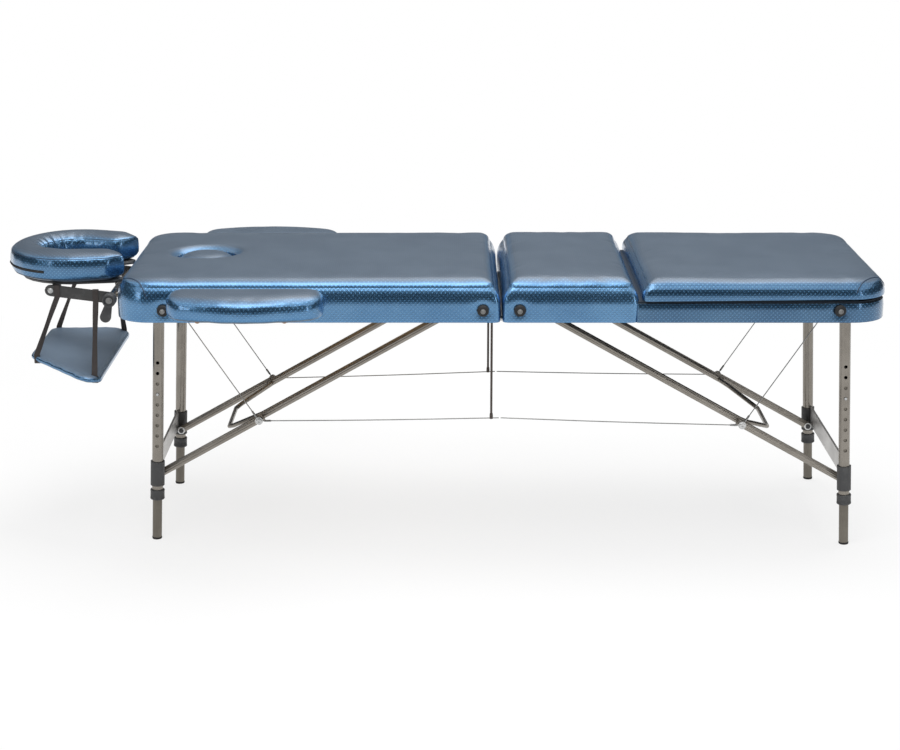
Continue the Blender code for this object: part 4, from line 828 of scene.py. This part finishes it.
def onZip(co):
    return (
        co.x - foldX < zipSet["endX"] and zipSet["lowY"] < co.y < zipSet["highY"]
        and math.hypot(co.x - foldX - cushionSet["bendX"], co.y) > zipSet["inner"])


def outward(route, step):    # moved away from the bend's centre
    return [co + (co - centre).normalized() * step for co in route]


zipLine = outward(sectionRoute(cushion, at(0, 0, zipSet["level"]), (0, 0, 1), onZip), zipSet["tapeOut"])
tape = bandMesh(zipLine, [Vector((0, 0, 1))] * len(zipLine), zipSet["width"], zipSet["thick"])
join(tape, tubeMesh(outward(zipLine, zipSet["coilOut"]), zipSet["coil"], 8))
fit("cushion_zip", tape, "cradle_platform", "rubber", "plastic")
print("seams sewn")


# wires, hanger and straps

legSet = {
    "pivotX": 0.828, "pivotZ": 0.597, "splay": math.radians(2.69), "head": 0.2145, "foot": 0.2515,
    "upper": 0.0138, "upperEnd": 0.4920, "ringLength": 0.0240,
    "collarPivot": 0.4350, "collarIn": 0.0080, "braceTopX": 0.055, "braceTopZ": 0.605}
braceSet = {
    "radius": 0.0095, "inset": 0.0360, "step": 0.0230, "tail": 0.0065, "kneeTail": 0.0110, "ribs": 8,
    "groove": 0.0009, "axle": 0.0060, "axleHalf": 0.2717}


def legPoint(side, y, along, inward=0.0):
    splay = legSet["splay"]
    x = legSet["pivotX"] + along * math.sin(splay) - inward * math.cos(splay)
    z = legSet["pivotZ"] - along * math.cos(splay) - inward * math.sin(splay)
    return at(side * x, y, z)


def bracePoints(side):
    low = legPoint(side, 0, legSet["collarPivot"], legSet["collarIn"])
    high = at(side * legSet["braceTopX"], 0, legSet["braceTopZ"])
    folded = legSet["pivotX"] - legSet["collarPivot"] - legSet["braceTopX"]
    line = high - low
    knee = low + line.normalized() * (line.length - folded) / 2
    return low, knee, high


def onY(point, y):
    return Vector((point.x, y, point.z))


wireSet = {
    "radius": 0.0013, "anchorX": 0.799, "anchorZ": 0.6205, "sag": 0.314, "drop": 0.012, "foldX": 0.002,
    "dip": 0.002, "sleeveGap": 0.012, "keep": 0.02,
    "sleeve": ((0, 0), (0.0022, 0.0006), (0.0026, 0.002), (0.0026, 0.016), (0.0020, 0.018), (0, 0.0185)),
    "eye": ((0.0052, -0.0013), (0.0078, -0.0013), (0.0078, 0.0013), (0.0052, 0.0013), (0.0052, -0.0013))}
wireInset = (braceSet["inset"] - braceSet["radius"] + legSet["upper"]) / 2
wireY = {end: legSet[end] - wireInset for side, end in sides}
centreY = (wireY["head"] + wireY["foot"]) / 2
for side, end in sides:
    knee = bracePoints(side)[1]
    anchor = at(side * wireSet["anchorX"], 0, wireSet["anchorZ"])
    foldEnd = at(side * wireSet["foldX"], 0, wireSet["sag"])
    middle = (knee + foldEnd) / 2 - Vector((0, 0, wireSet["dip"]))
    for flank, flankName in flanks:
        y = flank * wireY[end]
        stay = [onY(anchor, y), onY(anchor - Vector((0, 0, wireSet["drop"])), y), onY(knee, y)]
        run = [onY(knee, y), onY(middle, (y + flank * centreY) / 2), onY(foldEnd, flank * centreY)]
        bm = tubeMesh(smoothCurve(stay), wireSet["radius"], 8)
        join(bm, tubeMesh(smoothCurve(run), wireSet["radius"], 8))
        for there in (stay[1], run[1]):    # pressed sleeves beside the knee
            way = (there - onY(knee, y)).normalized()
            join(bm, lathe(wireSet["sleeve"], onY(knee, y) + way * wireSet["sleeveGap"], way, 12))
        join(bm, lathe(wireSet["eye"], onY(knee, y), (0, 1, 0), 20))
        name = end + "_" + flankName + "_wire"
        wire = fit(name + "_rope", bm, end + "_half", "wire", "steel", name)
        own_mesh(wire)

hangerSet = {
    "x": -0.021, "radius": 0.0028, "top": 0.6197, "bend": 0.020, "end": 0.002, "hookEnd": 0.001,
    "hook": ((0, -0.004), (0.0040, -0.003), (0.0042, 0.006), (0.0034, 0.011), (0, 0.0115))}
x, top, bend = hangerSet["x"], hangerSet["top"], hangerSet["bend"]
drop = [
    at(x, -centreY, wireSet["sag"] + hangerSet["end"]), at(x, -centreY, top - bend), at(x, -centreY, top),
    at(x, -centreY + bend, top)]
bm = tubeMesh(smoothCurve(drop + mirrored(drop)), hangerSet["radius"], 12)
for flank in (-1, 1):    # a hook of wire at each end
    join(bm, lathe(
        hangerSet["hook"], at(x, flank * centreY, wireSet["sag"] + hangerSet["hookEnd"]), (0, 0, 1), 14))
hanger = fit("hanger_elastic", bm, "head_half", "elastic", "webbing", "hanger_cord")
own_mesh(hanger)

armSet = {
    "axisX": -0.955, "axisZ": 0.602, "rise": 0.019, "length": 0.147, "radius": 0.014, "inner": 0.145,
    "outer": 0.151}
shelfRise = math.tan(math.radians(10))


def shelfTop(x):    # height of the shelf's upper face
    return shelfSet["middleZ"] + (shelfSet["middleX"] - x) * shelfRise


corner, steps = strapSet["corner"], strapSet["steps"]
for index, (topX, lowX, slotY) in enumerate(strapSet["places"]):
    armMid = armSet["axisZ"] + armSet["rise"] * (armSet["axisX"] - topX) / armSet["length"]
    over = armMid + armSet["radius"] + strapSet["overGap"]
    under = shelfTop(lowX) - shelfSet["thick"] - strapSet["sideGap"]
    inside, outside = armSet["inner"] - strapSet["insideGap"], armSet["outer"] + strapSet["sideGap"]
    section = (
        (inside, armMid - strapSet["end"]), (inside, armMid), (inside, over - corner),
        (inside + corner, over), (outside - corner, over), (outside, over - corner),
        (outside, armMid - armSet["radius"]))
    loop = [at(topX, -y, z) for y, z in section]
    slot = at(lowX, -slotY, shelfTop(lowX) + corner)
    shares = [step / steps for step in range(1, steps + 1)]
    drop = [loop[-1].lerp(slot, share) for share in shares]
    tail = [at(lowX, -slotY, under + corner), at(lowX, -slotY + corner, under)]
    twists = [strapSet["twist"] * math.sin(math.pi * share) for share in shares]
    turns = [0.0] * len(loop) + twists + [0.0] * len(tail)
    route = loop + drop + tail
    crosses = [Vector((math.cos(turn), math.sin(turn), 0)) for turn in turns]
    bm = bandMesh(
        route + mirrored(route), crosses + mirrored(crosses), strapSet["width"], strapSet["thick"])
    number = str(index + 1)
    strap = fit("shelf_sling_" + number, bm, "cradle_arms", "webbing", "webbing", "shelf_strap_" + number)
    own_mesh(strap)
print("wires and straps hung")


# braces, rings, plates, bolts and feet

for side, end in sides:
    low, knee, high = bracePoints(side)
    along = (high - low).normalized()
    lowerY = legSet[end] - braceSet["inset"]
    upperY = lowerY - braceSet["step"]
    thick, half = braceSet["axle"], braceSet["axleHalf"]
    axle = lathe(((0, -half), (thick, -half), (thick, half), (0, half)), high, (0, 1, 0), 20)
    for flank, flankName in flanks:
        y = flank * upperY
        join(axle, ribbedBar(
            onY(high + along * braceSet["tail"], y), onY(knee - along * braceSet["kneeTail"], y),
            braceSet["radius"], braceSet["ribs"], braceSet["groove"]))
        y = flank * lowerY
        bar = ribbedBar(
            onY(knee + along * braceSet["kneeTail"], y), onY(low - along * braceSet["tail"], y),
            braceSet["radius"], braceSet["ribs"], braceSet["groove"])
        name = end + "_" + flankName + "_lower_"
        fit(name + "bar", bar, end + "_lower_brace", "brace", "tube", name + "brace", sharp=50)
    fit(end + "_upper_bars", axle, end + "_upper_brace", "brace", "tube", end + "_upper_brace", sharp=50)

boltSet = {
    "head": 0.0074, "washer": 0.0096, "socket": 0.0030, "rim": 0.00375, "spacer": 0.0040,
    "washerThick": 0.0008}


def boltHead(place, direction, reach, height, scale=1.0):    # reach is the spacer under the washer
    spacer, washer, head = (boltSet[key] * scale for key in ("spacer", "washer", "head"))
    level = reach + boltSet["washerThick"]
    bm = lathe((
        (0, 0), (spacer, 0), (spacer, reach), (washer, reach), (washer, level), (head, level),
        (head, reach + height * 0.55), (head * 0.86, reach + height * 0.88), (head * 0.70, reach + height),
        (boltSet["rim"], reach + height)), place, direction, 24)
    cup = bmesh.new()
    bmesh.ops.create_circle(cup, cap_ends=False, segments=24, radius=boltSet["rim"])
    hexagon = bmesh.ops.create_circle(cup, cap_ends=False, segments=6, radius=boltSet["socket"])
    bmesh.ops.bridge_loops(cup, edges=cup.edges[:])
    inner = [edge for edge in cup.edges if all(vert in hexagon["verts"] for vert in edge.verts)]
    sunk = bmesh.ops.extrude_edge_only(cup, edges=inner)
    low = vertsOf(sunk["geom"])
    bmesh.ops.translate(cup, vec=(0, 0, -height * 0.6), verts=low)
    edges = [item for item in sunk["geom"] if isinstance(item, bmesh.types.BMEdge)]
    bmesh.ops.contextual_create(cup, geom=[edge for edge in edges if all(vert in low for vert in edge.verts)])
    spot = Vector(place) + Vector(direction).normalized() * (reach + height)
    join(bm, moved(cup, facing(spot, direction)))
    bmesh.ops.remove_doubles(bm, verts=bm.verts[:], dist=1e-5)
    return bm


ringSet = {
    "past": 0.0006, "profile": (
        (0.0139, 0), (0.0168, 0), (0.0178, 0.0012), (0.0178, 0.0045), (0.0174, 0.0052), (0.0174, 0.0198),
        (0.0178, 0.0205), (0.0178, 0.0240), (0.0166, 0.0252), (0.0122, 0.0252))}
capSet = {
    "above": 0.0052, "profile": (
        (0.0117, 0), (0.0121, 0), (0.0123, 0.0006), (0.0123, 0.0036), (0.0119, 0.0044), (0.0117, 0.0044))}
plateSet = {
    "outline": ((0.3878, -0.0033), (0.3878, -0.0087), (0.4382, -0.0087), (0.4382, -0.0033)), "inset": 0.0166,
    "round": 0.0006}
ringAlong = legSet["upperEnd"] - legSet["ringLength"] - ringSet["past"]
capAlong = legSet["pivotZ"] / math.cos(legSet["splay"]) - capSet["above"]
for side, end in sides:
    low, knee, high = bracePoints(side)
    lowerY = legSet[end] - braceSet["inset"]
    for flank, flankName in flanks:
        name = end + "_" + flankName
        kneeSpot = onY(knee, flank * (lowerY + braceSet["radius"]))
        kneeBolt = boltHead(kneeSpot, (0, flank, 0), 0.0082, 0.0036)
        fit(name + "_knee_bolt", kneeBolt, end + "_lower_brace", "steel", "steel")
        pinSpot = onY(low, flank * (lowerY - braceSet["radius"] - 0.0003))
        pin = boltHead(pinSpot, (0, -flank, 0), 0.0002, 0.0020)
        fit(name + "_collar_bolt", pin, end + "_leg", "steel", "steel")
        y = flank * legSet[end]
        axis = (legPoint(side, y, 1) - legPoint(side, y, 0)).normalized()
        ring = lathe(ringSet["profile"], legPoint(side, y, ringAlong), axis, 32)
        fit(name + "_end_ring", ring, end + "_leg", "plastic", "plastic")
        cap = lathe(capSet["profile"], legPoint(side, y, capAlong), axis, 32)
        fit(name + "_foot_cap", cap, name + "_lower_leg", "rubber", "plastic")
    reach = legSet[end] - plateSet["inset"]
    plate = bmesh.new()
    first = [plate.verts.new(legPoint(side, -reach, *spot)) for spot in plateSet["outline"]]
    grown = bmesh.ops.extrude_face_region(plate, geom=[plate.faces.new(first)])
    bmesh.ops.translate(plate, vec=(0, 2 * reach, 0), verts=vertsOf(grown["geom"]))
    bmesh.ops.contextual_create(plate, geom=first)
    roundEdges(plate, plate.edges[:], plateSet["round"], 2)
    fit(end + "_plate_skin", plate, end + "_leg", "sheet", "steel")

for index, (x, z) in enumerate(bumperSpots):
    body = "head_half" if x < 0 else "foot_half"
    screw = boltHead(at(x, -0.3108, z), (0, -1, 0), 0.0003, 0.0022, 0.62)
    fit("bumper_screw_" + str(index + 1), screw, body, "wire", "steel")

for flank, flankName in flanks:
    spot = at(armSet["axisX"] - armSet["length"], flank * armSet["outer"], armSet["axisZ"] + armSet["rise"])
    armBolt = boltHead(spot, (0, flank, 0), 0.0003, 0.0026, 0.7)
    fit(flankName + "_arm_bolt", armBolt, "cradle_arms", "steel", "steel")

leverSet = {
    "near": -0.1513, "hub": 0.0165, "hubEnd": -0.1822, "floor": 0.0035, "neck": 0.0072, "neckReach": 0.006,
    "end": 0.0135, "endReach": 0.0465, "lean": math.radians(16),
    "layers": ((-0.1575, 0.0010), (-0.1590, 0.0), (-0.1660, 0.0), (-0.1675, 0.0010))}
hubSpot = at(armSet["axisX"], leverSet["near"], armSet["axisZ"])
depth = leverSet["near"] - leverSet["hubEnd"]
hub = leverSet["hub"]
lever = lathe((
    (0, 0), (hub * 0.8, 0), (hub * 0.8, 0.004), (hub, 0.0055), (hub, depth - 0.0015), (hub - 0.0012, depth),
    (hub - 0.0040, depth), (hub - 0.0048, depth - leverSet["floor"]), (0, depth - leverSet["floor"])),
    hubSpot, (0, -1, 0), 36)
plate = bmesh.new()
away = Vector((-math.sin(leverSet["lean"]), 0, -math.cos(leverSet["lean"])))
for y, less in leverSet["layers"]:    # the blade narrows towards both faces
    for part in ("neck", "end"):
        spot = onY(hubSpot, y) + away * leverSet[part + "Reach"]
        bmesh.ops.create_circle(
            plate, cap_ends=False, segments=28, radius=leverSet[part] - less,
            matrix=Matrix.Translation(spot) @ Matrix.Rotation(math.radians(90), 4, "X"))
wrapHull(plate)
bmesh.ops.dissolve_limit(plate, angle_limit=math.radians(1), verts=plate.verts[:], edges=plate.edges[:])
join(lever, plate)
fit("cam_lever_handle", lever, "cam_lever", "plastic", "plastic", "cam_lever")
screwSpot = hubSpot - Vector((0, depth - leverSet["floor"] - 0.0001, 0))
screw = boltHead(screwSpot, (0, -1, 0), 0.0002, 0.0024, 0.8)
fit("cam_lever_screw", screw, "cam_lever", "wire", "steel")

hingeSet = {
    "pitch": 0.052, "row": 0.0115, "level": 0.5752, "each": 4,
    "screw": ((0, 0.00010), (0.0023, 0.00012), (0.0026, 0), (0.0026, -0.0006), (0, -0.0006))}
for side, end in sides:
    screws = bmesh.new()
    for index in range(-hingeSet["each"], hingeSet["each"] + 1):
        spot = at(side * hingeSet["row"], index * hingeSet["pitch"], hingeSet["level"])
        join(screws, lathe(hingeSet["screw"], spot, (0, 0, -1), 12))
    fit(end + "_hinge_screws", screws, end + "_half", "steel", "steel")
print("hardware fitted")


# finishes of the pieces that stay as they are

sharpAngle = math.radians(34)


def softShadeGroup():
    group = bpy.data.node_groups.new("edgeShade", "GeometryNodeTree")
    for way in ("INPUT", "OUTPUT"):
        group.interface.new_socket("Geometry", in_out=way, socket_type="NodeSocketGeometry")
    given = Socket(group).make("NodeGroupInput")
    plain = given.make("GeometryNodeRemoveAttribute", None, {"Geometry": given, "Name": "custom_normal"})
    merged = given.make("GeometryNodeMergeByDistance", None, {"Geometry": plain, "Distance": 1e-5})
    smooth = given.make("GeometryNodeSetShadeSmooth", {"domain": "FACE"}, {"Geometry": merged})
    angle = given.make("GeometryNodeInputMeshEdgeAngle", None, None, "Unsigned Angle")
    steep = given.make("FunctionNodeCompare", {"operation": "GREATER_THAN"}, {0: angle, 1: sharpAngle})
    edged = given.make(
        "GeometryNodeSetShadeSmooth", {"domain": "EDGE"},
        {"Geometry": smooth, "Selection": steep, "Shade Smooth": False})
    given.make("NodeGroupOutput", None, {0: edged}, ())
    return group


edgeShade = softShadeGroup()
legNames = [end + "_" + flankName for side, end in sides for flank, flankName in flanks]
nodeLooks = {
    "rail": ("head_frame", "foot_frame"),
    "board": ("head_deck",),
    "lining": ("foot_deck", "back_board"),
    "steel": ["head_hinge_leaf", "foot_hinge_leaf", "back_prop", "case_latch_1", "case_latch_2"] + [
        leg + "_leg_button" for leg in legNames],
    "plastic": (
        "head_carry_handle", "foot_carry_handle", "head_cross_plate", "foot_cross_plate", "cradle_platform"),
    "tube": ("head_leg_frame", "foot_leg_frame", "head_release_bow", "foot_release_bow", "cradle_bracket"),
    "lowTube": [leg + "_lower_tube" for leg in legNames],
    "arm": ("cradle_arms",),
    "rubber": ("bumper_head_outer", "bumper_head_inner", "bumper_foot_inner", "bumper_foot_outer"),
    "wood": ("near_armrest_board", "far_armrest_board"),
}
for look, names in nodeLooks.items():
    for name in names:
        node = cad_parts[name]
        for slot in node.material_slots:
            slot.material = finish[look]
        shade = node.modifiers.new("edgeShade", "NODES")
        shade.node_group = edgeShade
print("finishes applied")


# floor and light

stageSet = {"size": 30, "floor": 0.90, "lit": 0.78, "near": 1.0, "far": 2.6, "world": 0.70}


def grey(value):
    return rgb(value, value, value)


floorMesh = bmesh.new()
bmesh.ops.create_grid(floorMesh, x_segments=1, y_segments=1, size=stageSet["size"])
floor = newPiece("studioFloor", floorMesh)
material, place = newFinish("studioFloor")
plain = place.make("BsdfDiffuse", None, {"Color": grey(stageSet["floor"])})
white = place.make("Emission", None, {"Color": grey(1.0), "Strength": 1.0})
x, y, z = place.split()
away = (x * x + y * y).root().ease(stageSet["near"], stageSet["far"])
share = rayShare(place) * (stageSet["lit"] + away * (1 - stageSet["lit"]))
mixed = place.make("MixShader", None, {0: share, 1: plain, 2: white})
place.make("OutputMaterial", None, {"Surface": mixed}, ())
floor.data.materials.append(material)

world = bpy.data.worlds.new("studio")
scene.world = world
world.use_nodes = True
world.node_tree.nodes.clear()
sky = Socket(world.node_tree)
level = stageSet["world"] + rayShare(sky) * (1 - stageSet["world"])
backdrop = sky.make("Background", None, {"Color": grey(1.0), "Strength": level})
sky.make("OutputWorld", None, {"Surface": backdrop}, ())

flagSet = (
    ("frontFlag", (-9.0, -7.03, 0.02), (9.0, -6.97, 6.2), 0.020),
    ("backFlag", (-9.0, 7.47, 0.02), (9.0, 7.53, 9.0), 0.40),
    ("leftFlag", (-8.03, -6.9, 0.02), (-7.97, 7.4, 5.0), 0.060),
    ("rightFlag", (7.97, -6.9, 0.02), (8.03, 7.4, 5.0), 0.060),
)
for name, low, high, tone in flagSet:    # walls of the room, seen only as reflections
    flag = newPiece(name, block(low, high, 0.02))
    flag.visible_camera = False
    material, place = newFinish(name)
    surface(material, place, Base_Color=grey(tone), Roughness=0.9)
    flag.data.materials.append(material)

lampSet = (
    ("keyLamp", (-0.4, -1.75, 3.7), (0.0, 0.0, 0.6), (2.1, 2.1), 44),
    ("topLamp", (0.6, 0.8, 4.2), (0.1, 0.0, 0.6), (3.2, 2.6), 125),
    ("leftStrip", (-3.4, -2.9, 1.6), (-0.8, -0.2, 0.5), (0.5, 1.6), 10),
    ("rightStrip", (3.2, -3.7, 1.3), (0.2, -0.2, 0.4), (0.4, 1.8), 14),
)
for name, place, aim, size, power in lampSet:
    lamp = bpy.data.lights.new(name, "AREA")
    lamp.shape = "RECTANGLE"
    lamp.size, lamp.size_y = size
    lamp.energy = power
    holder = bpy.data.objects.new(name, lamp)
    holder.location = place
    holder.rotation_euler = (Vector(aim) - Vector(place)).to_track_quat("-Z", "Y").to_euler()
    scene.collection.objects.link(holder)
print("stage lit")
